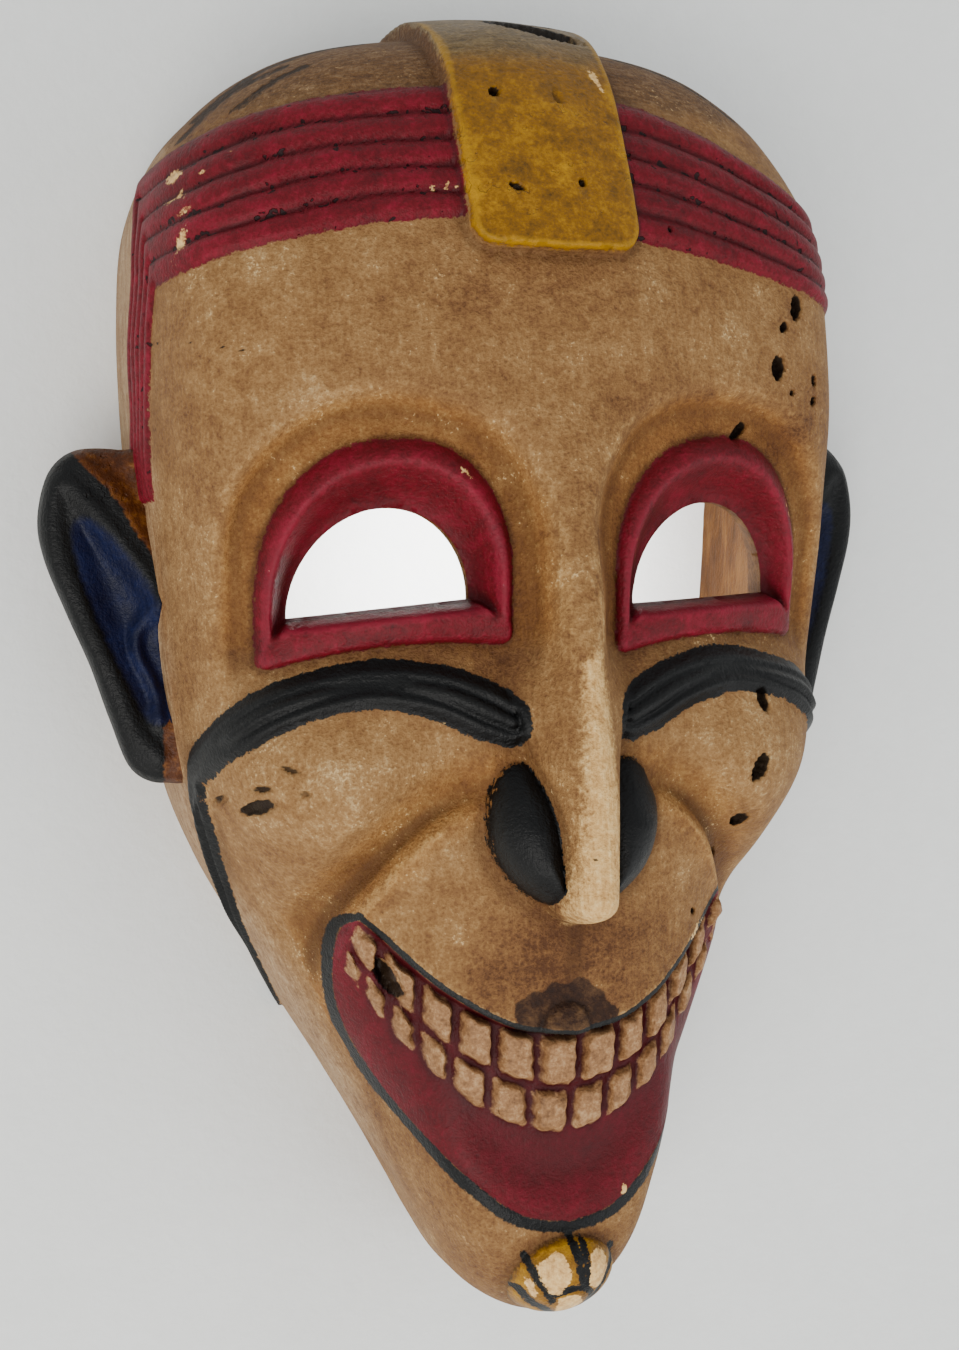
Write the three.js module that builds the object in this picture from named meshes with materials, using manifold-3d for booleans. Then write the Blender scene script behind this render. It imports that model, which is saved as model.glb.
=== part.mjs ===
// A carved wooden dance mask, one block of wood hollowed from behind.
// Millimetres. It lies on its back rim: +Z out of the face, +Y to the crown, +X to the
// mask's left. The carving is worked out over a face plan (x, y) whose y = 0 is level
// with the cheeks, and the finished block is then moved to the middle of its own box.

import * as THREE from 'three';
import { mergeVertices } from 'three/addons/utils/BufferGeometryUtils.js';
import Module from 'manifold-3d';

const wasm = await Module();
wasm.setup();

// Block: plan outline of the right half, from the crown to the chin
const CENTRE_Y = 40;
const HALF_OUTLINE = [
  [0, 188.5], [38, 185.5], [60, 177.5], [75, 164], [83, 148], [85.5, 125], [85.5, 98], [84, 72],
  [82, 40], [79, 10], [71, -13], [59.5, -35], [47.5, -58.5], [37.5, -79], [27.5, -99], [17, -117.5],
  [0, -126],
];
// Height of the middle line, and how fast the front falls off sideways, by y
const MIDDLE_LINE = [
  [-126, 73], [-106, 80], [-94, 83.5], [-70, 87], [-47, 91], [0, 95], [40, 98], [70, 101],
  [100, 101], [130, 95.5], [160, 85], [192, 74],
];
const SIDE_FALL = [
  [-126, 0.0105], [-95, 0.01], [-60, 0.009], [-20, 0.0085], [8, 0.0052], [45, 0.0046],
  [90, 0.0036], [130, 0.003], [192, 0.003],
];
const WALL_POWER = 2.5;
const EDGE_POWER_JAW = 9;
const EDGE_POWER_TEMPLE = 16;
const EDGE_POWER_CHIN = 26;
const WALL_TAPER = 0.018;
const FRONT_FADE = [0.6, 0.93];
const CHIN_TAPER = 0.03;
const SHOULDER_HEIGHT = 90;
const SHOULDER_RUN = 100;
const WALL_STEPS = 600;
const OUTLINE_STEPS = 400;

// Hollow behind
const RIM_WALL = 8.5;
const FRONT_WALL = 13;
const HOLLOW_POWER = 7;
const HOLLOW_ROWS = 10;
const HOLLOW_SIDES = 36;
const HOLLOW_WALL_POWER = 2.2;
const HOLLOW_RUN_ON = 0.08;
const HOLLOW_FOOT_Z = -8;
const NOSE_HOLLOW = { share: 0.55, halfWidth: 22, fadeFrom: -45, fadeTo: -12 };

// Eyes
const EYE_X = 38.8;
const SOCKET = { halfWidth: 34.5, springY: 60, rise: 36, depth: 5.5 };
const SOCKET_FOOT = { fadeFrom: 26, fadeTo: 44, bottomY: 20 };
const SOCKET_SLOPE = [0.8, -5.5];
const RING = { halfWidth: 26.8, springY: 54, rise: 32, bottomY: 37.8, bow: 2.8, proud: 3.6, dip: 6 };
const ARCH_POWER = 2.2;
const EYE_HOLE = { halfWidth: 19.2, rise: 22, bottomY: 49.2 };
const EYE_TILT = { left: 0.04, right: 0.08 };
const EYE_HOLE_STEPS = 14;
const EYE_HOLE_FROM_Z = 20;
const EYE_HOLE_LENGTH = 120;

// Nose with its two painted wings
const NOSE_TIP_Y = -22;
const TIP_RADIUS = 6.5;
const TIP_STRETCH = 1.12;
const NOSE_RISE = [[-24, 21], [-12, 21.3], [10, 18.5], [35, 12.5], [55, 8], [75, 3.5], [95, 0]];
const NOSE_HALF = [[-24, 7.2], [-10, 7.8], [6, 9], [20, 12], [35, 15], [55, 17], [75, 20], [95, 27]];
const NOSE_POWER = 2.6;
const NOSE_BLUNTNESS = 0.8;
const RIDGE_FROM = 2;
const RIDGE_TO = 42;
const WING_OUTLINE = [
  [2, 5], [7.5, 12], [12.5, 14.6], [16.6, 12.4], [19.2, 7], [19.9, 1], [19, -5], [16.2, -10.4],
  [11.8, -14.6], [6.8, -17.4], [2, -16],
];
const WING_RISE = [[-18, 14], [-10, 13.5], [0, 11.5], [7, 8], [12, 4.5], [16, 2]];
const WING_ROUND = 9;
const WING_REACH = 24;
const WING_STEPS = 30;

// Cheeks, the fold round the muzzle and the raised crescents under the eyes
const CHEEK = { x: 57, y: 6, halfWidth: 34, halfHeight: 30, rise: 8 };
const FOLD_LINE = [[17, 11], [24, 8], [32, 3], [39, -4], [44, -11], [49, -20], [52, -32], [50, -46]];
const FOLD_DEPTH = [[0, 0], [0.12, 3], [0.3, 5.5], [0.55, 8.5], [0.75, 7.5], [0.92, 3], [1, 0]];
const FOLD_CHEEK_SIDE = 13;
const FOLD_MUZZLE_SIDE = 5;
const FOLD_STEPS = 40;
const CRESCENT = [
  [14, 23.5], [20, 26.5], [27, 30], [34, 32.2], [42, 33.4], [50, 32.6], [58, 30.2], [65, 27], [70, 23],
];
const CRESCENT_HALF = [[0, 4.4], [0.09, 5.8], [0.45, 6.2], [0.9, 6], [1, 5]];
const CRESCENT_RISE = 2.6;
const CRESCENT_ROUND = 2.5;
const CRESCENT_STEPS = 30;

// Mouth
const UPPER_EDGE = [
  [0, -47.6], [11, -46], [19, -42.5], [28, -36.5], [35, -30], [40.5, -24.2], [44.4, -20.6],
];
const LOWER_EDGE = [
  [44.4, -20.6], [46.9, -23.2], [48.2, -30], [47.5, -39], [44.6, -48.5], [39.6, -58.3],
  [34.1, -66.8], [27.7, -75.1], [20, -83], [11, -89.8], [0, -92.3],
];
const UPPER_EDGE_STEPS = 16;
const LOWER_EDGE_STEPS = 28;
const MOUTH_DEPTH = 4.6;
const LIP_SLOPE = 13;
const ROW_GAP = 1.8;
const TOOTH_EDGE = 2.4;
const TOOTH_ROWS_MEET = { y: -60.9, bend: 0.0158 };
const TOOTH_FOOT = { y: -71.6, bend: 0.018 };
const TOOTH_RISE = 2.7;
const UPPER_INSET = 0;
const LOWER_INSET = 2.2;
const LIP_KNOB = { x: -1.5, y: -46, halfWidth: 5.6, halfHeight: 6, rise: 2.4 };
const CHIN_KNOB = { x: 0, y: -107, halfWidth: 12.5, halfHeight: 11.5, rise: 8 };

// Crown strap and the ridged band across the forehead, which turns down the side walls
const STRAP = { halfWidth: 19.5, bottomY: 125.5, corner: 5.5, proud: 4.5, crown: 0.8, edge: 0.6 };
const BAND_BOTTOM = [
  [-88, 121.5], [-79, 123.6], [-67, 126.9], [-44, 131.1], [-23, 132.8], [0, 131.6], [25, 127.8],
  [47, 123.9], [59, 121.2], [71, 118.4], [88, 114],
];
const BAND_TOP = [
  [-88, 150], [-79, 154.2], [-57, 161], [-29, 164.7], [0, 164.8], [18, 163.4], [30, 161.2],
  [43, 156.8], [56, 150.8], [68, 145], [88, 135],
];
const BAND_FRONT_Z = [[81, 47], [125, 58], [160, 60]];
const BAND_REAR_Z = [[87, 25], [101, 30], [117, 35], [128, 37], [141, 34], [154, 26]];
const BAND_END_Y = 76;
const BAND_RIDGES = 5;
const BAND_PROUD = 1;
const GROOVE_DEPTH = 1.2;

// Ears
const EAR_OUTLINE = [
  [76, 86], [88, 90.5], [98, 89.5], [104.5, 84], [107.6, 74], [106.5, 64], [102, 51], [97, 38],
  [93, 25], [88.5, 13], [81, 9.5], [74, 14], [73, 50],
];
const EAR_MIDDLE = [90, 58];
const EAR_INNER_X = 84;
const EAR_FACE_Z = 36;
const EAR_SLOPE = 0.3;
const EAR_SIDES = 24;
// Share of the way out from its middle, and height over its slanting face
const EAR_SECTION = [
  [0.5, -5], [0.72, -4.2], [0.82, -0.6], [0.91, 0.3], [0.98, -1.4], [1, -4], [0.93, -7.5], [0.7, -10],
  [0.4, -11],
];

// How closely the facets follow the carving
const ROOT_COLUMNS = 6;
const ROOT_ROWS = 9;
const MOST_HALVINGS = 8;
const FACET_ERROR = 0.7;
const MOUTH_FACET_ERROR = 0.38;
const BAND_FACET_ERROR = 0.38;
const SMALLEST_CELL = 1.45;
const CELL_STEPS = 4;
const SAME = 1e-7;
const MERGE_WITHIN = 1e-4;
const PLAN_STRETCH = 1.75;

const clamp = (value, low, high) => Math.min(high, Math.max(low, value));

function ease(from, to, value) {
  const t = clamp((value - from) / (to - from), 0, 1);
  return t * t * (3 - 2 * t);
}

function mound(distance) {
  const t = clamp(distance, 0, 1);
  return (1 - t * t) ** 2;
}

// A straight-line table, and a smooth one through the same kind of points
function along(points, at) {
  const x = clamp(at, points[0][0], points.at(-1)[0]);
  let i = 0;
  while (i < points.length - 2 && points[i + 1][0] < x) i += 1;
  const [[x0, y0], [x1, y1]] = [points[i], points[i + 1]];
  return y0 + ((y1 - y0) * (x - x0)) / (x1 - x0);
}

function slopeAt(points, i) {
  const [x0, y0] = points[Math.max(i - 1, 0)];
  const [x1, y1] = points[Math.min(i + 1, points.length - 1)];
  return (y1 - y0) / (x1 - x0);
}

function smoothAlong(points, at) {
  const x = clamp(at, points[0][0], points.at(-1)[0]);
  let i = 0;
  while (i < points.length - 2 && points[i + 1][0] < x) i += 1;
  const [[x0, y0], [x1, y1]] = [points[i], points[i + 1]];
  const h = x1 - x0;
  const t = (x - x0) / h;
  const start = (2 * t ** 3 - 3 * t ** 2 + 1) * y0 + (t ** 3 - 2 * t ** 2 + t) * h * slopeAt(points, i);
  const end = (3 * t ** 2 - 2 * t ** 3) * y1 + (t ** 3 - t ** 2) * h * slopeAt(points, i + 1);
  return start + end;
}

function curvePoints(points, count, closed = false) {
  const knots = points.map(([x, y]) => new THREE.Vector3(x, y, 0));
  return new THREE.CatmullRomCurve3(knots, closed, 'catmullrom').getPoints(count);
}

// Radius of the plan outline about its centre, as a table over the angle
const leftHalf = HALF_OUTLINE.slice(1, -1).reverse().map(([x, y]) => [-x, y]);
const rimRadiusByAngle = curvePoints([...HALF_OUTLINE, ...leftHalf], OUTLINE_STEPS, true)
  .map((p) => [Math.atan2(p.y - CENTRE_Y, p.x), Math.hypot(p.x, p.y - CENTRE_Y)])
  .sort((a, b) => a[0] - b[0])
  .filter((row, i, rows) => i === 0 || row[0] - rows[i - 1][0] > 1e-6);
rimRadiusByAngle.unshift([rimRadiusByAngle.at(-1)[0] - 2 * Math.PI, rimRadiusByAngle.at(-1)[1]]);
rimRadiusByAngle.push([rimRadiusByAngle[1][0] + 2 * Math.PI, rimRadiusByAngle[1][1]]);

function rimRadius(angle) {
  let low = 0;
  let high = rimRadiusByAngle.length - 1;
  while (high - low > 1) {
    const middle = (low + high) >> 1;
    if (rimRadiusByAngle[middle][0] <= angle) low = middle;
    else high = middle;
  }
  const [[a0, r0], [a1, r1]] = [rimRadiusByAngle[low], rimRadiusByAngle[high]];
  return r0 + ((r1 - r0) * (angle - a0)) / (a1 - a0);
}

function frontHeight(x, y) {
  return smoothAlong(MIDDLE_LINE, y) - smoothAlong(SIDE_FALL, y) * x * x;
}

function edgePower(angle) {
  const degrees = THREE.MathUtils.radToDeg(angle);
  const temple = ease(-60, 15, degrees) * (EDGE_POWER_TEMPLE - EDGE_POWER_JAW);
  return EDGE_POWER_JAW + temple + ease(-70, -84, degrees) * (EDGE_POWER_CHIN - EDGE_POWER_JAW);
}

// The plain block before carving, at a share of the way from its centre to its rim
function blockPoint(angle, share) {
  const radius = share * rimRadius(angle);
  const x = radius * Math.cos(angle);
  const y = CENTRE_Y + radius * Math.sin(angle);
  const half = Math.atan2(y - CENTRE_Y, Math.abs(x));
  const level = Math.max(0, 1 - share ** edgePower(half)) ** (1 / WALL_POWER);
  const z = frontHeight(x, y) * level;
  const chin = ease(-60, -78, THREE.MathUtils.radToDeg(half));
  const taper = 1 - (WALL_TAPER + CHIN_TAPER * chin) * share * (1 - level) ** 2;
  return { x: x * taper, y: CENTRE_Y + (y - CENTRE_Y) * taper, z, level };
}

// Even steps along the section of the block give even steps down its walls
const shareTable = [];
for (let i = 0, length = 0, last = [0, SHOULDER_HEIGHT]; i <= WALL_STEPS; i += 1) {
  const share = 1 - (1 - i / WALL_STEPS) ** 3;
  const level = Math.max(0, 1 - share ** EDGE_POWER_TEMPLE) ** (1 / WALL_POWER);
  const next = [share * SHOULDER_RUN, level * SHOULDER_HEIGHT];
  length += Math.hypot(next[0] - last[0], next[1] - last[1]);
  shareTable.push([length, share]);
  last = next;
}

function squareToBlock(u, v) {
  const reach = Math.max(Math.abs(u), Math.abs(v));
  let angle = 0;
  if (reach > 0 && Math.abs(u) >= Math.abs(v)) angle = (Math.PI / 4) * (v / u) + (u < 0 ? Math.PI : 0);
  else if (reach > 0) angle = Math.PI / 2 - (Math.PI / 4) * (u / v) + (v < 0 ? Math.PI : 0);
  const stretched = Math.atan2(PLAN_STRETCH * Math.sin(angle), Math.cos(angle));
  return { angle: stretched, share: along(shareTable, reach * shareTable.at(-1)[0]) };
}

// Distance outside an arch with a flat foot, negative inside
function archDistance(x, y, halfWidth, springY, rise, bottomY, power = ARCH_POWER) {
  const side = Math.abs(Math.abs(x) - EYE_X) / halfWidth;
  const up = Math.max(0, (y - springY) / rise);
  const reach = (side ** power + up ** power) ** (1 / power);
  return Math.max((reach - 1) * Math.min(halfWidth, rise), bottomY - y);
}

function distanceToLine(x, y, line) {
  let best = { distance: Infinity, share: 0, side: 0 };
  for (let i = 0; i < line.length - 1; i += 1) {
    const [ax, ay] = line[i];
    const [dx, dy] = [line[i + 1][0] - ax, line[i + 1][1] - ay];
    const t = clamp(((x - ax) * dx + (y - ay) * dy) / (dx * dx + dy * dy), 0, 1);
    const distance = Math.hypot(x - ax - t * dx, y - ay - t * dy);
    const side = (dx * (y - ay) - dy * (x - ax)) / Math.hypot(dx, dy);
    if (distance < best.distance) best = { distance, share: (i + t) / (line.length - 1), side };
  }
  return best;
}

// How far the eye's foot has risen towards the mask's left at this place
const eyeRise = (x) => (x < 0 ? EYE_TILT.right * (x + EYE_X) : EYE_TILT.left * (x - EYE_X));

function socketAndRing(x, y) {
  const socket = archDistance(x, y, SOCKET.halfWidth, SOCKET.springY, SOCKET.rise, SOCKET_FOOT.bottomY);
  const fade = ease(SOCKET_FOOT.fadeFrom, SOCKET_FOOT.fadeTo, y);
  const floor = -SOCKET.depth * ease(...SOCKET_SLOPE, socket) * fade;
  const foot = RING.bottomY + RING.bow * (1 - ((Math.abs(x) - EYE_X) / RING.halfWidth) ** 2);
  const up = y - eyeRise(x);
  const outer = archDistance(x, up, RING.halfWidth, RING.springY, RING.rise, foot);
  const hole = EYE_HOLE.bottomY;
  const inner = archDistance(x, up, EYE_HOLE.halfWidth, hole, EYE_HOLE.rise, hole, 2);
  if (inner < 0) return floor - RING.dip;
  if (outer > 0) return floor;
  const across = inner / (inner - outer);
  if (across < 0.5) return floor - RING.dip + (RING.dip + RING.proud) * (across / 0.5);
  return floor + RING.proud * Math.sqrt(Math.max(0, 1 - ((across - 0.5) / 0.5) ** 2));
}

// Millimetres inside a closed loop of points, negative outside
function insideLoop(x, y, loop) {
  const { distance } = distanceToLine(x, y, loop);
  let inside = false;
  for (let i = 1; i < loop.length; i += 1) {
    const [[x0, y0], [x1, y1]] = [loop[i - 1], loop[i]];
    const crossed = (y0 > y) !== (y1 > y);
    if (crossed && x < x0 + ((y - y0) * (x1 - x0)) / (y1 - y0)) inside = !inside;
  }
  return inside ? distance : -distance;
}

const wingLoop = curvePoints(WING_OUTLINE, WING_STEPS, true).map((p) => [p.x, p.y]);

function noseAndWings(x, y) {
  const side = Math.abs(x);
  const reach = Math.hypot(side, Math.max(0, NOSE_TIP_Y + TIP_RADIUS - y) * TIP_STRETCH);
  const share = clamp(reach / smoothAlong(NOSE_HALF, y), 0, 1);
  const rounded = (1 - share ** NOSE_POWER) ** NOSE_BLUNTNESS;
  const low = ease(RIDGE_TO, RIDGE_FROM, y);
  const ridge = smoothAlong(NOSE_RISE, y) * (rounded * low + (1 - ease(0, 1, share)) * (1 - low));
  if (Math.abs(y) > WING_REACH || side > WING_REACH) return ridge;
  const inward = clamp(insideLoop(side, y, wingLoop) / WING_ROUND, 0, 1);
  const wing = along(WING_RISE, y) * Math.sqrt(1 - (1 - inward) ** 2);
  return Math.max(ridge, wing);
}

const foldLine = curvePoints(FOLD_LINE, FOLD_STEPS).map((p) => [p.x, p.y]);

function cheekAndFold(x, y) {
  const side = Math.abs(x);
  const cheek = Math.hypot((side - CHEEK.x) / CHEEK.halfWidth, (y - CHEEK.y) / CHEEK.halfHeight);
  const fold = distanceToLine(side, y, foldLine);
  const reach = fold.side > 0 ? FOLD_CHEEK_SIDE : FOLD_MUZZLE_SIDE;
  return CHEEK.rise * mound(cheek) - along(FOLD_DEPTH, fold.share) * mound(fold.distance / reach);
}

// The crescent's middle line in space, over the top of the cheek
function crescentPoints() {
  return curvePoints(CRESCENT, CRESCENT_STEPS).map((p) => {
    const angle = Math.atan2(p.y - CENTRE_Y, p.x);
    const share = Math.hypot(p.x, p.y - CENTRE_Y) / rimRadius(angle);
    const level = Math.max(0, 1 - share ** edgePower(angle)) ** (1 / WALL_POWER);
    return new THREE.Vector3(p.x, p.y, (frontHeight(p.x, p.y) + cheekAndFold(p.x, p.y)) * level);
  });
}

const crescentLine = crescentPoints();
const crescentReach = Math.max(...CRESCENT_HALF.map(([, half]) => half));
const crescentBox = new THREE.Box3().setFromPoints(crescentLine).expandByScalar(crescentReach);
const toPoint = new THREE.Vector3();
const alongSegment = new THREE.Line3();
const nearest = new THREE.Vector3();

function crescent(x, y, z) {
  toPoint.set(Math.abs(x), y, z);
  if (!crescentBox.containsPoint(toPoint)) return 0;
  let best = { distance: Infinity, share: 0 };
  for (let i = 0; i < crescentLine.length - 1; i += 1) {
    alongSegment.set(crescentLine[i], crescentLine[i + 1]);
    const t = alongSegment.closestPointToPointParameter(toPoint, true);
    const distance = alongSegment.at(t, nearest).distanceTo(toPoint);
    if (distance < best.distance) best = { distance, share: (i + t) / (crescentLine.length - 1) };
  }
  const across = best.distance / along(CRESCENT_HALF, best.share);
  if (across >= 1) return 0;
  return CRESCENT_RISE * Math.sqrt(1 - across ** CRESCENT_ROUND);
}

const bentLine = (line, x) => line.y + line.bend * x * x;

const upperEdge = curvePoints(UPPER_EDGE, UPPER_EDGE_STEPS).map((p) => [p.x, p.y]);
const lowerEdge = curvePoints(LOWER_EDGE, LOWER_EDGE_STEPS).map((p) => [p.x, p.y]);
const mouthLoop = [...upperEdge, ...lowerEdge.slice(1), upperEdge[0]];

// Height of the two rows of teeth over the floor of the mouth
function teeth(x, y, inside) {
  const upperRow = y - bentLine(TOOTH_ROWS_MEET, x) - ROW_GAP / 2;
  const lowerRow = Math.min(-upperRow - ROW_GAP, y - bentLine(TOOTH_FOOT, x));
  const upper = Math.min(upperRow, inside - UPPER_INSET);
  const lower = Math.min(lowerRow, inside - LOWER_INSET);
  return TOOTH_RISE * ease(0, TOOTH_EDGE, Math.max(upper, lower));
}

function mouth(x, y) {
  const inside = insideLoop(Math.abs(x), y, mouthLoop);
  if (inside <= 0) return 0;
  const above = distanceToLine(Math.abs(x), y, upperEdge).distance;
  const below = distanceToLine(Math.abs(x), y, lowerEdge).distance;
  const floor = -MOUTH_DEPTH * Math.min(ease(0, 1, above), ease(0, LIP_SLOPE, below));
  return floor + teeth(x, y, inside);
}

function roundKnob(x, y, knob) {
  const reach = Math.hypot((x - knob.x) / knob.halfWidth, (y - knob.y) / knob.halfHeight);
  return reach < 1 ? knob.rise * Math.sqrt(1 - reach * reach) : 0;
}

function strapDistance(x, y) {
  const dx = Math.abs(x) - STRAP.halfWidth + STRAP.corner;
  const dy = STRAP.bottomY - y + STRAP.corner;
  const outside = Math.hypot(Math.max(dx, 0), Math.max(dy, 0));
  return outside + Math.min(Math.max(dx, dy), 0) - STRAP.corner;
}

// 0 at the band's lower or front edge, 1 at its upper or rear edge
function bandShare(x, y, z) {
  const low = smoothAlong(BAND_BOTTOM, x);
  const across = (y - low) / (smoothAlong(BAND_TOP, x) - low);
  const front = along(BAND_FRONT_Z, y);
  const back = (front - z) / (front - along(BAND_REAR_Z, y));
  return Math.max(across, back);
}

function bandRelief(x, y, z) {
  const share = bandShare(x, y, z);
  if (share <= 0 || share >= 1 || y < BAND_END_Y) return 0;
  const inRidge = (share * BAND_RIDGES) % 1;
  const crest = Math.sqrt(1 - (2 * inRidge - 1) ** 2);
  return BAND_PROUD - GROOVE_DEPTH * (1 - crest);
}

function blockPointAt(u, v) {
  const { angle, share } = squareToBlock(u, v);
  return { ...blockPoint(angle, share), angle };
}

function carvedPoint(u, v) {
  const p = blockPointAt(u, v);
  const onFront = ease(...FRONT_FADE, p.level);
  const relief = socketAndRing(p.x, p.y) + noseAndWings(p.x, p.y) + cheekAndFold(p.x, p.y)
    + mouth(p.x, p.y) + roundKnob(p.x, p.y, LIP_KNOB) + roundKnob(p.x, p.y, CHIN_KNOB);
  const crown = STRAP.crown * Math.max(0, 1 - (p.x / STRAP.halfWidth) ** 2);
  const strap = (STRAP.proud + crown) * ease(STRAP.edge, -STRAP.edge, strapDistance(p.x, p.y));
  const z = p.z + relief * onFront;
  const layer = (strap > 0 ? strap : bandRelief(p.x, p.y, p.z)) + crescent(p.x, p.y, z);
  const lean = Math.sqrt(Math.max(0, 1 - p.level ** 4));
  const outX = Math.cos(p.angle) * lean;
  const outY = Math.sin(p.angle) * lean;
  const outZ = Math.sqrt(Math.max(0, 1 - outX * outX - outY * outY)) * p.level;
  return new THREE.Vector3(p.x + outX * layer, p.y + outY * layer, z + outZ * layer);
}

// Facets: the square is halved, whichever way helps more, until flat facets follow the carving
const gridKey = (value) => Math.round(value * 1e6);
const pointCache = new Map();
function carved(u, v) {
  const key = `${gridKey(u)},${gridKey(v)}`;
  if (!pointCache.has(key)) pointCache.set(key, carvedPoint(u, v));
  return pointCache.get(key);
}

function cellErrors(cell) {
  const { u0, u1, v0, v1 } = cell;
  const [a, b, c, d] = [carved(u0, v0), carved(u1, v0), carved(u0, v1), carved(u1, v1)];
  const normal = d.clone().sub(a).cross(c.clone().sub(b)).normalize();
  let acrossU = 0;
  let acrossV = 0;
  for (let i = 0; i <= CELL_STEPS; i += 1) {
    for (let j = 0; j <= CELL_STEPS; j += 1) {
      const [s, t] = [i / CELL_STEPS, j / CELL_STEPS];
      const u = u0 + (u1 - u0) * s;
      const v = v0 + (v1 - v0) * t;
      const p = carved(u, v);
      const rowFlat = carved(u0, v).clone().lerp(carved(u1, v), s);
      const columnFlat = carved(u, v0).clone().lerp(carved(u, v1), t);
      acrossU = Math.max(acrossU, Math.abs(p.clone().sub(rowFlat).dot(normal)));
      acrossV = Math.max(acrossV, Math.abs(p.clone().sub(columnFlat).dot(normal)));
    }
  }
  const wide = Math.min(a.distanceTo(b), c.distanceTo(d));
  const high = Math.min(a.distanceTo(c), b.distanceTo(d));
  return { acrossU, acrossV, wide, high };
}

// The rows of teeth and the band's ridges are followed more closely than the rest
function errorAllowed({ u0, u1, v0, v1 }) {
  const p = blockPointAt((u0 + u1) / 2, (v0 + v1) / 2);
  if (insideLoop(Math.abs(p.x), p.y, mouthLoop) > 0) return MOUTH_FACET_ERROR;
  return bandRelief(p.x, p.y, p.z) === 0 ? FACET_ERROR : BAND_FACET_ERROR;
}

function splitCell(cell, depth, leaves) {
  const { acrossU, acrossV, wide, high } = cellErrors(cell);
  const allowed = errorAllowed(cell);
  const splitU = acrossU > allowed && wide > 2 * SMALLEST_CELL;
  const splitV = acrossV > allowed && high > 2 * SMALLEST_CELL;
  if (depth >= MOST_HALVINGS || (!splitU && !splitV)) {
    leaves.push(cell);
    return;
  }
  const { u0, u1, v0, v1 } = cell;
  const [um, vm] = [(u0 + u1) / 2, (v0 + v1) / 2];
  const alongU = splitU && (!splitV || acrossU >= acrossV);
  const halves = alongU
    ? [{ u0, u1: um, v0, v1 }, { u0: um, u1, v0, v1 }]
    : [{ u0, u1, v0, v1: vm }, { u0, u1, v0: vm, v1 }];
  for (const half of halves) splitCell(half, depth + 1, leaves);
}

function faceCells() {
  const leaves = [];
  for (let i = 0; i < ROOT_COLUMNS; i += 1) {
    for (let j = 0; j < ROOT_ROWS; j += 1) {
      const u0 = -1 + (2 * i) / ROOT_COLUMNS;
      const v0 = -1 + (2 * j) / ROOT_ROWS;
      splitCell({ u0, u1: u0 + 2 / ROOT_COLUMNS, v0, v1: v0 + 2 / ROOT_ROWS }, 0, leaves);
    }
  }
  return leaves;
}

// Every corner that lies on a cell's side becomes one of its corners too, so nothing gaps
function outerTriangles() {
  const cells = faceCells();
  const onU = new Map();
  const onV = new Map();
  const note = (map, line, at) => {
    if (!map.has(gridKey(line))) map.set(gridKey(line), new Map());
    map.get(gridKey(line)).set(gridKey(at), at);
  };
  for (const { u0, u1, v0, v1 } of cells) {
    for (const [u, v] of [[u0, v0], [u1, v0], [u0, v1], [u1, v1]]) {
      note(onU, u, v);
      note(onV, v, u);
    }
  }
  const between = (map, line, from, to) => [...map.get(gridKey(line)).values()]
    .filter((at) => at > from - SAME && at < to - SAME)
    .sort((a, b) => a - b);
  const triangles = [];
  const rim = new Map();
  for (const { u0, u1, v0, v1 } of cells) {
    const loop = [
      ...between(onV, v0, u0, u1).map((u) => [u, v0]),
      ...between(onU, u1, v0, v1).map((v) => [u1, v]),
      ...between(onV, v1, u0 + 2 * SAME, u1 + 2 * SAME).reverse().map((u) => [u, v1]),
      ...between(onU, u0, v0 + 2 * SAME, v1 + 2 * SAME).reverse().map((v) => [u0, v]),
    ];
    const corners = loop.map(([u, v]) => carved(u, v));
    if (corners.length === 4) {
      const [a, b, c, d] = corners;
      const middle = carved((u0 + u1) / 2, (v0 + v1) / 2);
      const first = a.clone().lerp(c, 0.5).distanceTo(middle);
      const second = b.clone().lerp(d, 0.5).distanceTo(middle);
      if (first <= second) triangles.push([a, b, c], [a, c, d]);
      else triangles.push([a, b, d], [b, c, d]);
    } else {
      const middle = carved((u0 + u1) / 2, (v0 + v1) / 2);
      corners.forEach((p, i) => triangles.push([middle, p, corners[(i + 1) % corners.length]]));
    }
    loop.forEach(([u, v]) => {
      if (Math.max(Math.abs(u), Math.abs(v)) > 1 - 1e-6) rim.set(`${gridKey(u)},${gridKey(v)}`, carved(u, v));
    });
  }
  const ring = [...rim.values()]
    .sort((a, b) => Math.atan2(a.y - CENTRE_Y, a.x) - Math.atan2(b.y - CENTRE_Y, b.x));
  const foot = new THREE.Vector3(0, CENTRE_Y, 0);
  ring.forEach((p, i) => triangles.push([foot, ring[(i + 1) % ring.length], p]));
  return triangles;
}

function noseHollow(x, y) {
  const fade = ease(NOSE_HOLLOW.fadeFrom, NOSE_HOLLOW.fadeTo, y);
  return NOSE_HOLLOW.share * smoothAlong(NOSE_RISE, y) * mound(Math.abs(x) / NOSE_HOLLOW.halfWidth) * fade;
}

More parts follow.
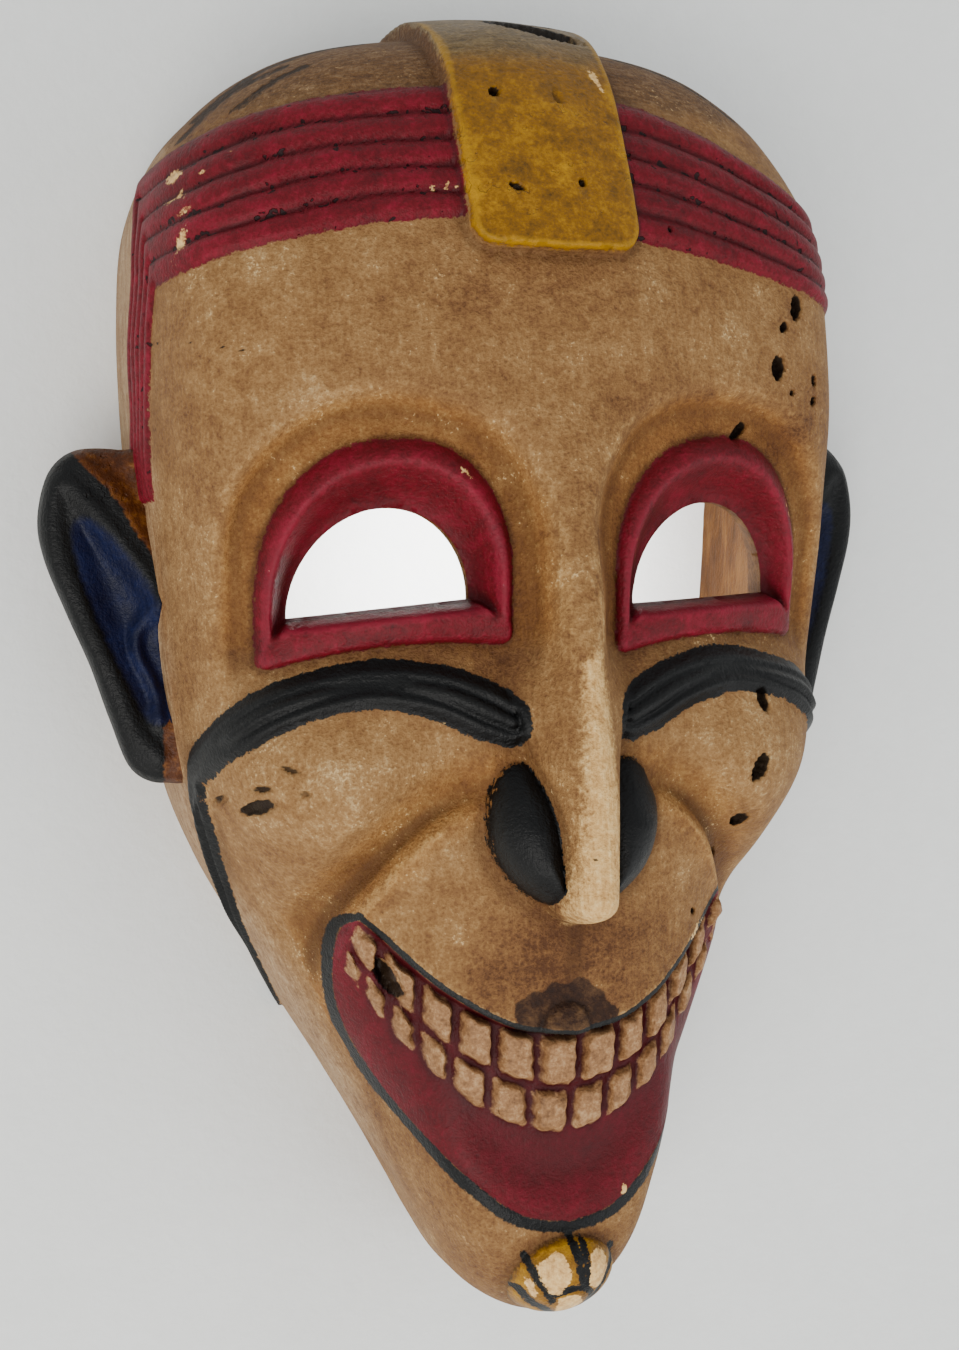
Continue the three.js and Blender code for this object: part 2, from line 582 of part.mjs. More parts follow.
// The hollow, run on below the rim so that the cut is clean
function hollowTriangles() {
  const rows = [];
  for (let j = 0; j <= HOLLOW_ROWS; j += 1) {
    const turn = (Math.PI / 2) * (j / HOLLOW_ROWS);
    const share = Math.sin(turn) ** (2 / HOLLOW_POWER);
    const level = j === HOLLOW_ROWS ? -HOLLOW_RUN_ON : Math.cos(turn) ** (2 / HOLLOW_WALL_POWER);
    const row = [];
    for (let i = 0; i < HOLLOW_SIDES; i += 1) {
      const turnAngle = (2 * Math.PI * i) / HOLLOW_SIDES;
      const angle = Math.atan2(PLAN_STRETCH * Math.sin(turnAngle), Math.cos(turnAngle));
      const radius = share * (rimRadius(angle) - RIM_WALL);
      const x = radius * Math.cos(angle);
      const y = CENTRE_Y + radius * Math.sin(angle);
      row.push(new THREE.Vector3(x, y, (frontHeight(x, y) - FRONT_WALL + noseHollow(x, y)) * level));
    }
    rows.push(row);
  }
  const triangles = [];
  const top = new THREE.Vector3(0, CENTRE_Y, frontHeight(0, CENTRE_Y) - FRONT_WALL);
  const foot = new THREE.Vector3(0, CENTRE_Y, HOLLOW_FOOT_Z);
  for (let i = 0; i < HOLLOW_SIDES; i += 1) {
    const k = (i + 1) % HOLLOW_SIDES;
    triangles.push([top, rows[1][i], rows[1][k]]);
    for (let j = 1; j < HOLLOW_ROWS; j += 1) {
      triangles.push([rows[j][i], rows[j + 1][i], rows[j + 1][k]]);
      triangles.push([rows[j][i], rows[j + 1][k], rows[j][k]]);
    }
    triangles.push([foot, rows[HOLLOW_ROWS][k], rows[HOLLOW_ROWS][i]]);
  }
  return triangles;
}

// An ear: a rolled edge round a shallow hollow on the front, swelling to a rounded back
function earTriangles() {
  const outline = curvePoints(EAR_OUTLINE, EAR_SIDES, true).slice(0, EAR_SIDES).reverse();
  const [mx, my] = EAR_MIDDLE;
  const at = (p, share, lift) => {
    const x = mx + (p.x - mx) * share;
    return new THREE.Vector3(x, my + (p.y - my) * share, EAR_FACE_Z - EAR_SLOPE * (x - EAR_INNER_X) + lift);
  };
  const rings = EAR_SECTION.map(([share, lift]) => outline.map((p) => at(p, share, lift)));
  const front = at({ x: mx, y: my }, 0, EAR_SECTION[0][1]);
  const back = at({ x: mx, y: my }, 0, EAR_SECTION.at(-1)[1]);
  const triangles = [];
  for (let i = 0; i < EAR_SIDES; i += 1) {
    const k = (i + 1) % EAR_SIDES;
    triangles.push([front, rings[0][i], rings[0][k]]);
    for (let j = 0; j < rings.length - 1; j += 1) {
      triangles.push([rings[j][i], rings[j + 1][i], rings[j + 1][k]]);
      triangles.push([rings[j][i], rings[j + 1][k], rings[j][k]]);
    }
    triangles.push([rings.at(-1)[i], back, rings.at(-1)[k]]);
  }
  return triangles;
}

function mirrored(triangles) {
  return triangles.map((t) => t.map((p) => new THREE.Vector3(-p.x, p.y, p.z)).reverse());
}

function closedGeometry(triangles) {
  const position = new Float32Array(triangles.flat().flatMap((p) => [p.x, p.y, p.z]));
  const loose = new THREE.BufferGeometry();
  loose.setAttribute('position', new THREE.BufferAttribute(position, 3));
  return mergeVertices(loose, MERGE_WITHIN);
}

function toSolid(geometry) {
  const vertProperties = new Float32Array(geometry.attributes.position.array);
  const triVerts = new Uint32Array(geometry.index.array);
  return new wasm.Manifold(new wasm.Mesh({ numProp: 3, vertProperties, triVerts }));
}

function toGeometry(solid) {
  const mesh = solid.getMesh();
  const geometry = new THREE.BufferGeometry();
  geometry.setAttribute('position', new THREE.BufferAttribute(new Float32Array(mesh.vertProperties), 3));
  geometry.setIndex(new THREE.BufferAttribute(new Uint32Array(mesh.triVerts), 1));
  return geometry;
}

// A straight hole through the wall in the shape of the eye
function eyeHole(side) {
  const outline = [];
  for (let i = 0; i <= EYE_HOLE_STEPS; i += 1) {
    const turn = (Math.PI * i) / EYE_HOLE_STEPS;
    const x = side * EYE_X + EYE_HOLE.halfWidth * Math.cos(turn);
    outline.push(new THREE.Vector2(x, EYE_HOLE.bottomY + EYE_HOLE.rise * Math.sin(turn) + eyeRise(x)));
  }
  const shape = new THREE.Shape(outline);
  const hole = new THREE.ExtrudeGeometry(shape, { depth: EYE_HOLE_LENGTH, bevelEnabled: false });
  hole.translate(0, 0, EYE_HOLE_FROM_Z);
  hole.deleteAttribute('normal');
  hole.deleteAttribute('uv');
  return mergeVertices(hole, MERGE_WITHIN);
}

function maskGeometry() {
  let wood = toSolid(closedGeometry(outerTriangles()));
  const ear = earTriangles();
  for (const triangles of [ear, mirrored(ear)]) wood = wood.add(toSolid(closedGeometry(triangles)));
  wood = wood.subtract(toSolid(closedGeometry(hollowTriangles())));
  for (const side of [-1, 1]) wood = wood.subtract(toSolid(eyeHole(side)));
  const geometry = toGeometry(wood);
  geometry.computeBoundingBox();
  const middle = geometry.boundingBox.getCenter(new THREE.Vector3());
  geometry.translate(-middle.x, -middle.y, -geometry.boundingBox.min.z);
  geometry.computeVertexNormals();
  return geometry;
}

const wood = new THREE.MeshStandardMaterial({ color: 0xa9804f, roughness: 0.72, metalness: 0 });
const mask = new THREE.Mesh(maskGeometry(), wood);
mask.name = 'mask';

const group = new THREE.Group();
group.add(mask);

export default group;
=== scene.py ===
import math

import bpy
import numpy as np
from mathutils import Matrix, Vector


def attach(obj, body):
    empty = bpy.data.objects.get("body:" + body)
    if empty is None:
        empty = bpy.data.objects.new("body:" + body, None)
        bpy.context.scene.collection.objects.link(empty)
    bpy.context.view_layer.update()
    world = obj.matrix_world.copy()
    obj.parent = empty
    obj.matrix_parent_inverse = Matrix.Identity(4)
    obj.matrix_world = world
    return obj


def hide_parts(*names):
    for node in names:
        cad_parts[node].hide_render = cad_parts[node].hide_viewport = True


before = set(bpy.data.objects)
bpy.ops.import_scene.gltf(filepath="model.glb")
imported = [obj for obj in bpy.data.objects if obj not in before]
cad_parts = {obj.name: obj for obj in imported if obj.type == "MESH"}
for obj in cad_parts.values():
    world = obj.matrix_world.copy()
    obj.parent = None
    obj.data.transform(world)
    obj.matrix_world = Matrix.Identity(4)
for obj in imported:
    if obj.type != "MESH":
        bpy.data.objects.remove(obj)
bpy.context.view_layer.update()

# The carving is worked out in millimetres over a face plan (x, y) whose y = 0 is level with the
# cheeks. The finished piece is in metres, moved to the middle of the frame.
MM = 0.001
MIDDLE_Y = 34.484

# Camera
PHOTO_HEIGHT_PX = 1350
CAMERA_FOCAL_PX = 1900
CAMERA_PLACE = (-143.73, 48.45, 488.92)
CAMERA_AXES = (
    (0.9533959, -0.03531401, 0.29964843),
    (0.04413934, 0.99876671, -0.02273265),
    (-0.2984761, 0.0348995, 0.95377882),
)

# Block: plan outline of the right half, from the crown to the chin
CENTRE_Y = 40.0
HALF_OUTLINE = [
    (0, 188.5), (38, 185.5), (60, 177.5), (75, 164), (83, 148), (85.5, 125), (85.5, 98), (84, 72),
    (82, 40), (79, 10), (71, -13), (59.5, -35), (47.5, -58.5), (37.5, -79), (27.5, -99),
    (17, -117.5), (0, -126),
]
MIDDLE_LINE = [
    (-126, 73), (-106, 80), (-94, 83.5), (-70, 87), (-47, 91), (0, 95), (40, 98), (70, 101),
    (100, 101), (130, 95.5), (160, 85), (192, 74),
]
SIDE_FALL = [
    (-126, 0.0105), (-95, 0.01), (-60, 0.009), (-20, 0.0085), (8, 0.0052), (45, 0.0046),
    (90, 0.0036), (130, 0.003), (192, 0.003),
]
WALL_POWER = 2.5
EDGE_POWER_JAW = 9.0
EDGE_POWER_TEMPLE = 16.0
EDGE_POWER_CHIN = 26.0
WALL_TAPER = 0.018
CHIN_TAPER = 0.03
FRONT_FADE = (0.6, 0.93)
SHOULDER_HEIGHT = 90.0
SHOULDER_RUN = 100.0
PLAN_STRETCH = 1.75

# Hollow behind, with the dips that the gouge left
RIM_WALL = 8.5
FRONT_WALL = 13.0
HOLLOW_POWER = 7.0
HOLLOW_WALL_POWER = 2.2
HOLLOW_RUN_ON = 0.08
HOLLOW_FOOT_Z = -8.0
HOLLOW_ROWS = 44
HOLLOW_SIDES = 160
NOSE_HOLLOW = {"share": 0.55, "half_width": 22.0, "fade_from": -45.0, "fade_to": -12.0}
GOUGE = {"depth": 0.7, "across": 11.0, "length": 34.0}

# Eyes
EYE_X = 38.8
ARCH_POWER = 2.2
SOCKET = {"half_width": 34.5, "spring_y": 60.0, "rise": 36.0, "depth": 6.0}
RING = {"half_width": 26.8, "spring_y": 54.0, "rise": 32.0, "bottom_y": 37.8, "bow": 2.8, "corner": 3.0}
RING_ARCH = [
    (0, -5.5), (0.15, -4.4), (0.35, -1.4), (0.5, 1.6), (0.6, 3.3), (0.68, 3.8), (0.84, 2.6), (1, 0),
]
RING_BAR = [(0, -5), (0.2, 1.6), (0.28, 3.1), (0.4, 3.7), (0.75, 3.2), (0.92, 2.0), (1, 0)]
EYE_HOLE = {"half_width": 19.2, "rise": 22.0, "bottom_y": 49.2}
EYE_TILT = {"left": 0.04, "right": 0.08}
EYE_HOLE_Z = (20.0, 140.0)
EYE_HOLE_STEPS = 48

# Nose: a narrow rounded ridge that widens into the brows, with a painted wing on each side
NOSE_TIP_Y = -22.0
TIP_RADIUS = 6.5
TIP_STRETCH = 1.12
NOSE_POWER = 2.6
NOSE_BLUNTNESS = 0.8
RIDGE_FADE = (42, 2)
NOSE_RISE = [(-24, 20.5), (-12, 20.8), (10, 18), (35, 12.5), (55, 8), (75, 3.5), (95, 0)]
NOSE_HALF = [(-24, 7.2), (-10, 7.8), (6, 9.0), (20, 12), (35, 15), (55, 17), (75, 20), (95, 27)]
WING_OUTLINE = [
    (2, 5), (7.5, 12), (12.5, 14.6), (16.6, 12.4), (19.2, 7), (19.9, 1), (19, -5), (16.2, -10.4),
    (11.8, -14.6), (6.8, -17.4), (2, -16), (2, 5),
]
WING_RISE = [(-18, 14), (-10, 13.5), (0, 11.5), (7, 8), (12, 4.5), (16, 2)]
WING_ROUND = 9.0

# Cheeks, the fold round the muzzle and the ridged crescents that run on down the side of the jaw
CHEEK = {"x": 57.0, "y": 6.0, "half_width": 34.0, "half_height": 30.0, "rise": 8.0}
FOLD_LINE = [(17, 11), (24, 8), (32, 3), (39, -4), (44, -11), (49, -20), (52, -32), (50, -46)]
FOLD_DEPTH = [(0, 0), (0.12, 3), (0.3, 6), (0.55, 9.5), (0.75, 8), (0.92, 3), (1, 0)]
FOLD_CHEEK_SIDE = 13.0
FOLD_MUZZLE_SIDE = 5.0
CRESCENT_FRONT = [
    (14, 23.5), (20, 26.5), (27, 30), (34, 32.2), (42, 33.4), (50, 32.6), (58, 30.2), (65, 27),
    (70, 23),
]
CRESCENT_TAIL = [
    (73.6, 14, 50), (72.9, 1, 42), (70.3, -8, 35), (66.8, -18, 28), (62, -29, 20), (56.5, -40, 11),
    (50.5, -51, 2),
]
CRESCENT_HALF = [
    (0, 5.8), (0.07, 6.8), (0.2, 6.5), (0.4, 6.1), (0.6, 6.0), (0.72, 5), (0.85, 4), (1, 3),
]
CRESCENT_RISE = 3.0
CRESCENT_RIDGES = 3

# Mouth: half outline from the middle of the upper lip round the corner to the middle below
UPPER_EDGE = [(0, -47.6), (11, -46), (19, -42.5), (28, -36.5), (35, -30), (40.5, -24.2), (44.4, -20.6)]
LOWER_EDGE = [
    (44.4, -20.6), (46.9, -23.2), (48.2, -30), (47.5, -39), (44.6, -48.5), (39.6, -58.3), (34.1, -66.8),
    (27.7, -75.1), (20, -83), (11, -89.8), (0, -92.3),
]
MOUTH_DEPTH = 4.6
LIP_SLOPE = 13.0
UPPER_GAPS = [-43.9, -37.9, -30.4, -23.6, -15.7, -6.8, 2.7, 12.2, 19.3, 26.9, 34, 40]
LOWER_GAPS = [-46, -40.8, -36, -30.4, -24.5, -16.8, -8.2, 1.0, 9.5, 17.0, 24.3, 31, 37, 42]
TOOTH_GAP = 1.1
GAP_LEAN = 0.04
TOOTH_CORNER = 1.6
TOOTH_EDGE = 1.5
UPPER_INSET = 0.9
LOWER_INSET = 2.2
TOOTH_ROWS_MEET = {"y": -60.9, "bend": 0.0158}
TOOTH_FOOT = {"y": -71.6, "bend": 0.018}
UPPER_TOOTH_RISE = 3.3
LOWER_TOOTH_RISE = 2.6
LIP_KNOB = {"x": -1.5, "y": -46.0, "half_width": 5.6, "half_height": 6.0, "rise": 2.6}
CHIN_KNOB = {"x": 0.0, "y": -107.0, "half_width": 12.5, "half_height": 11.5, "rise": 8.0}

# Crown strap and the ridged band across the forehead, which turns down the side walls
STRAP = {"half_width": 19.5, "bottom_y": 125.5, "corner": 5.5, "proud": 4.4, "crown": 0.6}
STRAP_EDGE = (-0.7, 0.9)
STRAP_SKEW = 0.06
BAND_BOTTOM = [
    (-88, 121.5), (-79, 123.6), (-67, 126.9), (-44, 131.1), (-23, 132.8), (0, 131.6), (25, 127.8),
    (47, 123.9), (59, 121.2), (71, 118.4), (88, 114),
]
BAND_TOP = [
    (-88, 150), (-79, 154.2), (-57, 161), (-29, 164.7), (0, 164.8), (18, 163.4), (30, 161.2),
    (43, 156.8), (56, 150.8), (68, 145), (88, 135),
]
BAND_FRONT_Z = [(81, 47), (125, 58), (160, 60)]
BAND_REAR_Z = [(87, 25), (101, 30), (117, 35), (128, 37), (141, 34), (154, 26)]
BAND_END_Y = 76.0
BAND_RIDGES = 5
BAND_PROUD = 1.0
BAND_CREST = 0.28
GROOVE_DEPTH = 1.0
GROOVE_SHARE = 0.22

# Ears
EAR_OUTLINE = [
    (76, 86), (88, 89.5), (98, 89.5), (104.5, 84.5), (107.5, 74), (106.5, 64), (102, 51), (97, 38),
    (93, 25), (88.5, 13), (81, 9.5), (74, 14), (73, 50),
]
EAR_MIDDLE = (90.0, 55.0)
EAR_INNER_X = 84.0
EAR_FACE_Z = 36.0
EAR_SLOPE = 0.3
EAR_SIDES = 104
EAR_RINGS = 30
EAR_BACK = [(1, -4), (0.95, -7.2), (0.8, -9.4), (0.5, -10.8)]
EAR_ROUND = 3.4
EAR_BOWL = [
    (100.3, 70.4), (98.5, 73.4), (95.4, 72.6), (91.2, 69), (87, 63.2), (83.6, 58), (80, 51),
    (72, 44), (72, 28), (79, 24.2), (84.4, 24.2), (89, 33.9), (92.9, 42.9), (96.7, 53.2),
    (99.4, 62.8), (100.3, 70.4),
]
EAR_BOWL_DEPTH = 3.6
EAR_SHOULDER_DROP = 3.6
EAR_CREST_RISE, EAR_CREST_HALF = 1.2, 4.0
EAR_FOLD_RISE, EAR_FOLD_HALF = 2.6, 2.6
EAR_CREST = [
    (80.5, 52), (85, 59.5), (88.8, 65.4), (92.4, 71), (96, 76), (100, 80.5), (103.4, 81), (104.6, 74),
    (103.6, 64), (99.8, 53), (95.8, 42.5), (92, 33), (88, 22), (83, 16),
]
EAR_SHOULDER = [
    (99.5, 89), (96.7, 84.8), (92, 80.2), (88.6, 75), (85.8, 69.3), (82.4, 64.1), (80.5, 58),
    (70, 52), (70, 96), (99.5, 96), (99.5, 89),
]
EAR_FOLD = [
    (81, 52), (84.4, 48.3), (86.4, 44.6), (86.2, 40.8), (84.7, 36.9), (83, 33), (81.9, 29),
    (82.3, 25),
]

# Age: worm holes, flakes and splits as (x, y, half length, half width, turn in degrees, depth)
HOLES = [
    (63.1, 116, 3.2, 1.6, 75, 4), (58.5, 111.1, 1.7, 1.0, 40, 3), (55.8, 101.4, 3.0, 1.9, 80, 4),
    (67.9, 99.4, 1.4, 0.8, 90, 3), (67.4, 94.5, 1.2, 0.8, 60, 3), (59.9, 95.9, 0.7, 0.7, 0, 2),
    (46.4, 87.3, 3.2, 1.1, 42, 3), (50.9, 24.9, 3.0, 1.5, 110, 3), (48.7, 9.6, 3.6, 2.0, 55, 4),
    (47.2, -3.4, 1.9, 1.6, 0, 4), (44.1, -12.8, 1.9, 1.3, 120, 3), (33.6, -23.8, 0.8, 0.8, 0, 2),
    (28.3, 131.6, 0.7, 0.6, 0, 1.5), (-66, 6, 3.4, 1.8, 25, 2.0), (-65.5, 10.3, 2.0, 0.9, 10, 1.2),
    (-60.5, 14.8, 2.2, 0.8, -20, 1.1), (-72, 7, 1.4, 0.9, 60, 1.2), (-57.8, 9.5, 1.5, 0.8, 0, 0.9),
    (-9.9, 161, 1.3, 1.0, 0, 3), (-8.6, 139.2, 1.9, 0.8, -20, 1.6), (6.7, 140.5, 1.0, 0.9, 0, 1.8),
    (4.4, 160, 0.9, 1.6, 20, 0.8), (-38, -34.6, 5.0, 1.9, -62, 4),
]
STRAP_SPLIT = (6.0, 178.4, 10.5, 1.7, -17, 2.6)
STRAP_SPLIT_BESIDE = (8.5, 182.5, 6.5, 1.0, -12, 1.8)

# Bare and pale places as (x, y, half length, half width, turn in degrees)
CHIPS = [
    (15.4, 166.6, 3.6, 1.0, -72), (-77, 147.5, 2.4, 1.2, 60), (-76.4, 142.5, 1.6, 0.8, 80),
    (-77.5, 131.5, 2.2, 0.8, 80), (-76.6, 138, 1.4, 0.6, 30), (-78.6, 141.5, 1.0, 0.8, 0),
    (-79.2, 127, 1.2, 0.5, 85), (-72.5, 146.5, 0.9, 0.6, 10), (-66, 150.5, 0.7, 0.5, 40),
    (79, 148, 2.4, 1.2, -60), (-32.4, 21.4, 1.8, 0.8, 20), (-29, 23.4, 1.2, 0.6, 60),
    (-35, 19.5, 1.0, 0.5, -30), (14, -86.8, 1.4, 1.0, 60), (35.2, -28.4, 3.4, 0.8, 50),
    (-25.6, 139.8, 1.0, 0.7, 0), (-22.8, 140.4, 0.8, 1.0, 0), (-20.8, 140.2, 0.7, 0.6, 0),
    (53.5, 86.0, 0.9, 0.9, 0), (61.2, 70, 2.8, 0.6, -80), (-22.5, 78, 2.0, 0.7, -40),
]
# A worn pale stripe down the nose ridge, also painted light on its top
NOSE_WORN_AND_LIT = [
    (-1.6, 37), (-2.4, 26), (-3.4, 12), (-4.2, 0), (-5, -9), (-5.6, -17), (0, -22), (5.2, -17),
    (5, -6), (4.6, 6), (4.2, 18), (3.6, 30), (2.8, 38), (-1.6, 37),
]
FINE_SPLITS = [
    [(-5.3, -4.8), (-3, -5.6), (-0.5, -5.2), (2.7, -6)], [(-8, 160.5), (-7, 151), (-9.6, 144)],
    [(-86, 112), (-70, 106), (-60, 104)], [(60, 139), (66, 131), (70, 126)],
]
SPLITS = [
    [(-70, 163), (-58, 172.5), (-44, 178.5), (-30, 181.5)],
    [(-64, 161.5), (-54, 169), (-46, 173)],
    [(-50, 179), (-38, 183), (-24, 185.5)],
    [(24, 182), (38, 179), (52, 172.5)],
    [(36, 183), (50, 178), (60, 171.5)],
    [(-74, 158), (-62, 168.5), (-50, 174)], [(28, 178), (44, 173), (58, 164)],
]

# Painted light and shade on the wood: patches made lighter or darker, as (x, y, half width, half height,
# strength)
LIGHT_AND_SHADE_PATCHES = [
    (-48, 8, 30, 24, 0.25), (48, 12, 28, 24, 0.5), (0, -32, 36, 20, -0.75), (-62, 30, 14, 14, 0.3),
    (-17, 50, 13, 34, -0.6), (17, 50, 13, 34, -0.6), (0, 92, 40, 16, -0.15),
    (-46, 128, 34, 14, 0.2), (-20, 118, 30, 14, -0.25), (38, 118, 34, 18, -0.2),
    (0, -104, 34, 14, -0.5), (-40, -72, 14, 26, -0.35), (-74, 20, 10, 40, 0.3),
    (-56, 96, 22, 12, 0.3), (62, 88, 18, 16, -0.3), (-30, -8, 16, 14, 0.35),
]
KNOB_BARE = [
    [(-8.6, -100.6), (-3.4, -97.8), (-1.2, -104.2), (-5.8, -106.2), (-8.6, -100.6)],
    [(-10.8, -104.2), (-9.6, -104), (-7.4, -109.6), (-9.2, -109), (-10.8, -104.2)],
    [(5.2, -99), (6.6, -98.2), (7, -104), (6, -105), (5.2, -99)],
    [(-3.6, -109.6), (0.6, -108.6), (3.4, -111.4), (1.8, -115.4), (-1.6, -115.6), (-3.6, -109.6)],
    [(-8.8, -101), (-4, -98.6), (-1.8, -104), (-3.2, -108.6), (-6.4, -107), (-8.8, -101)],
    [(3.4, -98.6), (6.8, -98.6), (8.6, -103.6), (6.6, -108), (3.6, -106.6), (3.4, -98.6)],
]
KNOB_LINES = [
    [(-10.2, -99.3), (-8.8, -103.6), (-6, -107.6), (-4.4, -110.4)],
    [(-0.6, -94), (0.4, -100), (1.6, -105), (3.4, -108.2)],
    [(2.2, -96.4), (2.6, -101), (3.2, -106)],
    [(11, -100), (8.4, -105), (6.4, -109.4), (5, -112.6)],
    [(-11.4, -107.6), (-8, -111.6), (-4.6, -113.8), (-2.2, -116.2)],
    [(-5.4, -109.2), (-2.4, -107.2), (1.4, -106.8), (4.6, -109), (5.4, -113)],
]
STAIN = [
    (-13.8, -41.6), (-13.2, -39.4), (-11.2, -38.4), (-9.6, -37), (-7.2, -37.2), (-5.2, -35.2),
    (-1.6, -35.8), (1.2, -34.6), (4, -35.8), (5, -37.4), (7.4, -38.6), (8.6, -41.2), (11.4, -42.6),
    (10.6, -46), (8, -50), (-10, -50), (-13.8, -41.6),
]

# How far in front (z) a mark has to lie to be on the face, and the widths of lines and dips
FRONT_Z = 50.0
KNOB_Z = 60.0
CHIP_Z = 30.0
SPLIT_Z = 40.0
RIDGE_Z = 90.0
LIP_LINE = {"upper": 1.25, "lower": 1.6, "swell": 1.2}
FINE_SPLIT_WIDTH = 0.55
SPLIT_WIDTH = 1.3
DIP_REACH = 1.1
BROAD_DIP_REACH = 4.0

# Paints that vary, from their darkest to their palest tone, and even ones (0 to 255)
TONES = {
    "wood": ((84, 54, 31), (124, 86, 51), (150, 110, 66), (174, 134, 86), (208, 172, 120)),
    # The warmer wood tone is painted light in the eye sockets
    "warm_and_lit_wood": ((100, 56, 20), (150, 96, 40), (200, 148, 78)),
    "end_grain": ((50, 33, 20), (108, 79, 50), (156, 126, 92)),
    # The pale side wall tone is partly painted light
    "pale_and_lit_wall": ((132, 100, 72), (190, 156, 118), (220, 194, 156)),
    "cream": ((146, 102, 56), (208, 164, 102), (240, 206, 144)),
    "crimson": ((58, 1, 11), (92, 3, 22), (122, 10, 39)),
    "bone": ((84, 56, 34), (138, 100, 66), (182, 146, 106)),
    "ochre": ((60, 42, 4), (122, 82, 0), (172, 124, 0)),
    "olive": ((58, 44, 24), (96, 76, 44), (138, 114, 76)),
    "black": ((0, 0, 0), (2, 2, 2), (12, 12, 11)),
    "stain": ((16, 8, 5), (42, 24, 14), (92, 66, 43)),
    "blue": ((6, 9, 24), (13, 19, 46), (28, 38, 76)),
    "ear_root": ((34, 14, 4), (78, 42, 14), (140, 88, 34)),
    "cut_wood": ((48, 28, 8), (88, 56, 18), (128, 92, 44)),
    "raw_wood": ((44, 26, 10), (76, 48, 20), (112, 78, 38)),
    "floor": ((228, 229, 226), (234, 235, 232), (240, 241, 239)),
}
# The even dark wood colour also gives the painted shade at the foot of the eye rings
PAINTS = {
    # The fold's dark colour is painted shade
    "dip_darkening": (70, 42, 20), "fold_shade": (66, 42, 20), "dirt_and_shade": (62, 34, 14), "fleck": (206, 172, 122),
    # The crimson crest colour is a painted highlight
    "worm": (48, 28, 16), "crimson_dip": (42, 2, 9), "crimson_highlight": (150, 40, 62), "pit": (20, 9, 9),
    "flake": (222, 176, 150), "lip": (56, 1, 10), "gum": (66, 30, 22), "ochre_dip": (36, 24, 4),
    # The black crest colour is a painted highlight
    "ochre_worn_and_lit_edge": (176, 130, 0), "black_highlight": (48, 48, 46), "split": (22, 13, 8),
    "ear_chip": (200, 176, 140), "hole": (16, 9, 6),
}

# Light: name, place, what it is aimed at, size, power and colour
ROOM_LIGHT = {"colour": (0.93, 0.97, 1.0, 1), "strength": 0.9}
LAMPS = [
    ("window", (-0.75, -0.65, 1.15), (0, 0, 0.05), 1.0, 20, (1.0, 0.97, 0.92)),
    ("fill", (0.9, -0.6, 0.9), (0, 0, 0.05), 0.9, 6, (1, 1, 1)),
    ("inside_forehead", (0.0, 0.045, 0.062), (0, 0.03, 0), 0.05, 0.28, (1, 1, 1)),
    ("inside_cheeks", (0.0, -0.02, 0.06), (0, -0.02, 0), 0.04, 0.2, (1, 1, 1)),
]

# The square that is laid over the block: lines across each way, and their share on the front
COLUMNS = 96
ROWS = 124
FRONT_SHARE = 0.64
FRONT_REACH = 0.52
MESH_ERRORS = (0.045, 0.17, 0.3)
SMOOTH_BELOW = 72

# Even plan grid on which the carving's height is blurred, to find its dips and crests
MAP_STEP = 0.55
MAP_X = np.arange(-112, 112, MAP_STEP)
MAP_Y = np.arange(-134, 198, MAP_STEP)


def ease(start, stop, value):
    t = np.clip((value - start) / (stop - start), 0.0, 1.0)
    return t * t * (3.0 - 2.0 * t)


def mound(distance):
    t = np.clip(distance, 0.0, 1.0)
    return (1.0 - t * t) ** 2


def along(points, at):
    """Straight-line table through the points."""
    xs, ys = np.array(points, float).T
    return np.interp(at, xs, ys)


def smooth_along(points, at):
    """Smooth curve through the points."""
    p = np.array(points, float)
    x = np.clip(at, p[0, 0], p[-1, 0])
    i = np.clip(np.searchsorted(p[:, 0], x, side="left") - 1, 0, len(p) - 2)
    before = p[np.maximum(np.arange(len(p)) - 1, 0)]
    after = p[np.minimum(np.arange(len(p)) + 1, len(p) - 1)]
    slope = (after[:, 1] - before[:, 1]) / (after[:, 0] - before[:, 0])
    h = p[i + 1, 0] - p[i, 0]
    t = (x - p[i, 0]) / h
    start = (2 * t**3 - 3 * t**2 + 1) * p[i, 1] + (t**3 - 2 * t**2 + t) * h * slope[i]
    end = (3 * t**2 - 2 * t**3) * p[i + 1, 1] + (t**3 - t**2) * h * slope[i + 1]
    return start + end


def curve_points(points, count, closed=False):
    """Evenly numbered points on a smooth curve through the knots."""
    knots = np.array(points, float)
    total = len(knots) if closed else len(knots) - 1
    at = np.linspace(0, total, count + 1)
    i = np.minimum(np.floor(at).astype(int), total - 1)
    t = (at - i)[:, None]

    def knot(k):
        return knots[k % total] if closed else knots[np.clip(k, 0, total)]

    a, b, c, d = knot(i - 1), knot(i), knot(i + 1), knot(i + 2)
    if not closed:
        a = np.where((i == 0)[:, None], 2 * b - c, a)
        d = np.where((i == total - 1)[:, None], 2 * c - b, d)
    even = (2 * a - 5 * b + 4 * c - d) * t**2
    return 0.5 * (2 * b + (c - a) * t + even + (3 * b - a - 3 * c + d) * t**3)


left_half = [(-x, y) for x, y in HALF_OUTLINE[-2:0:-1]]
outline = curve_points(HALF_OUTLINE + left_half, 800, closed=True)
rim_angle = np.arctan2(outline[:, 1] - CENTRE_Y, outline[:, 0])
rim_reach = np.hypot(outline[:, 0], outline[:, 1] - CENTRE_Y)
rim_order = np.argsort(rim_angle)
rim_angle, rim_reach = rim_angle[rim_order], rim_reach[rim_order]


def rim_radius(angle):
    return np.interp(angle, rim_angle, rim_reach, period=2 * math.pi)


def front_height(x, y):
    return smooth_along(MIDDLE_LINE, y) - smooth_along(SIDE_FALL, y) * x * x


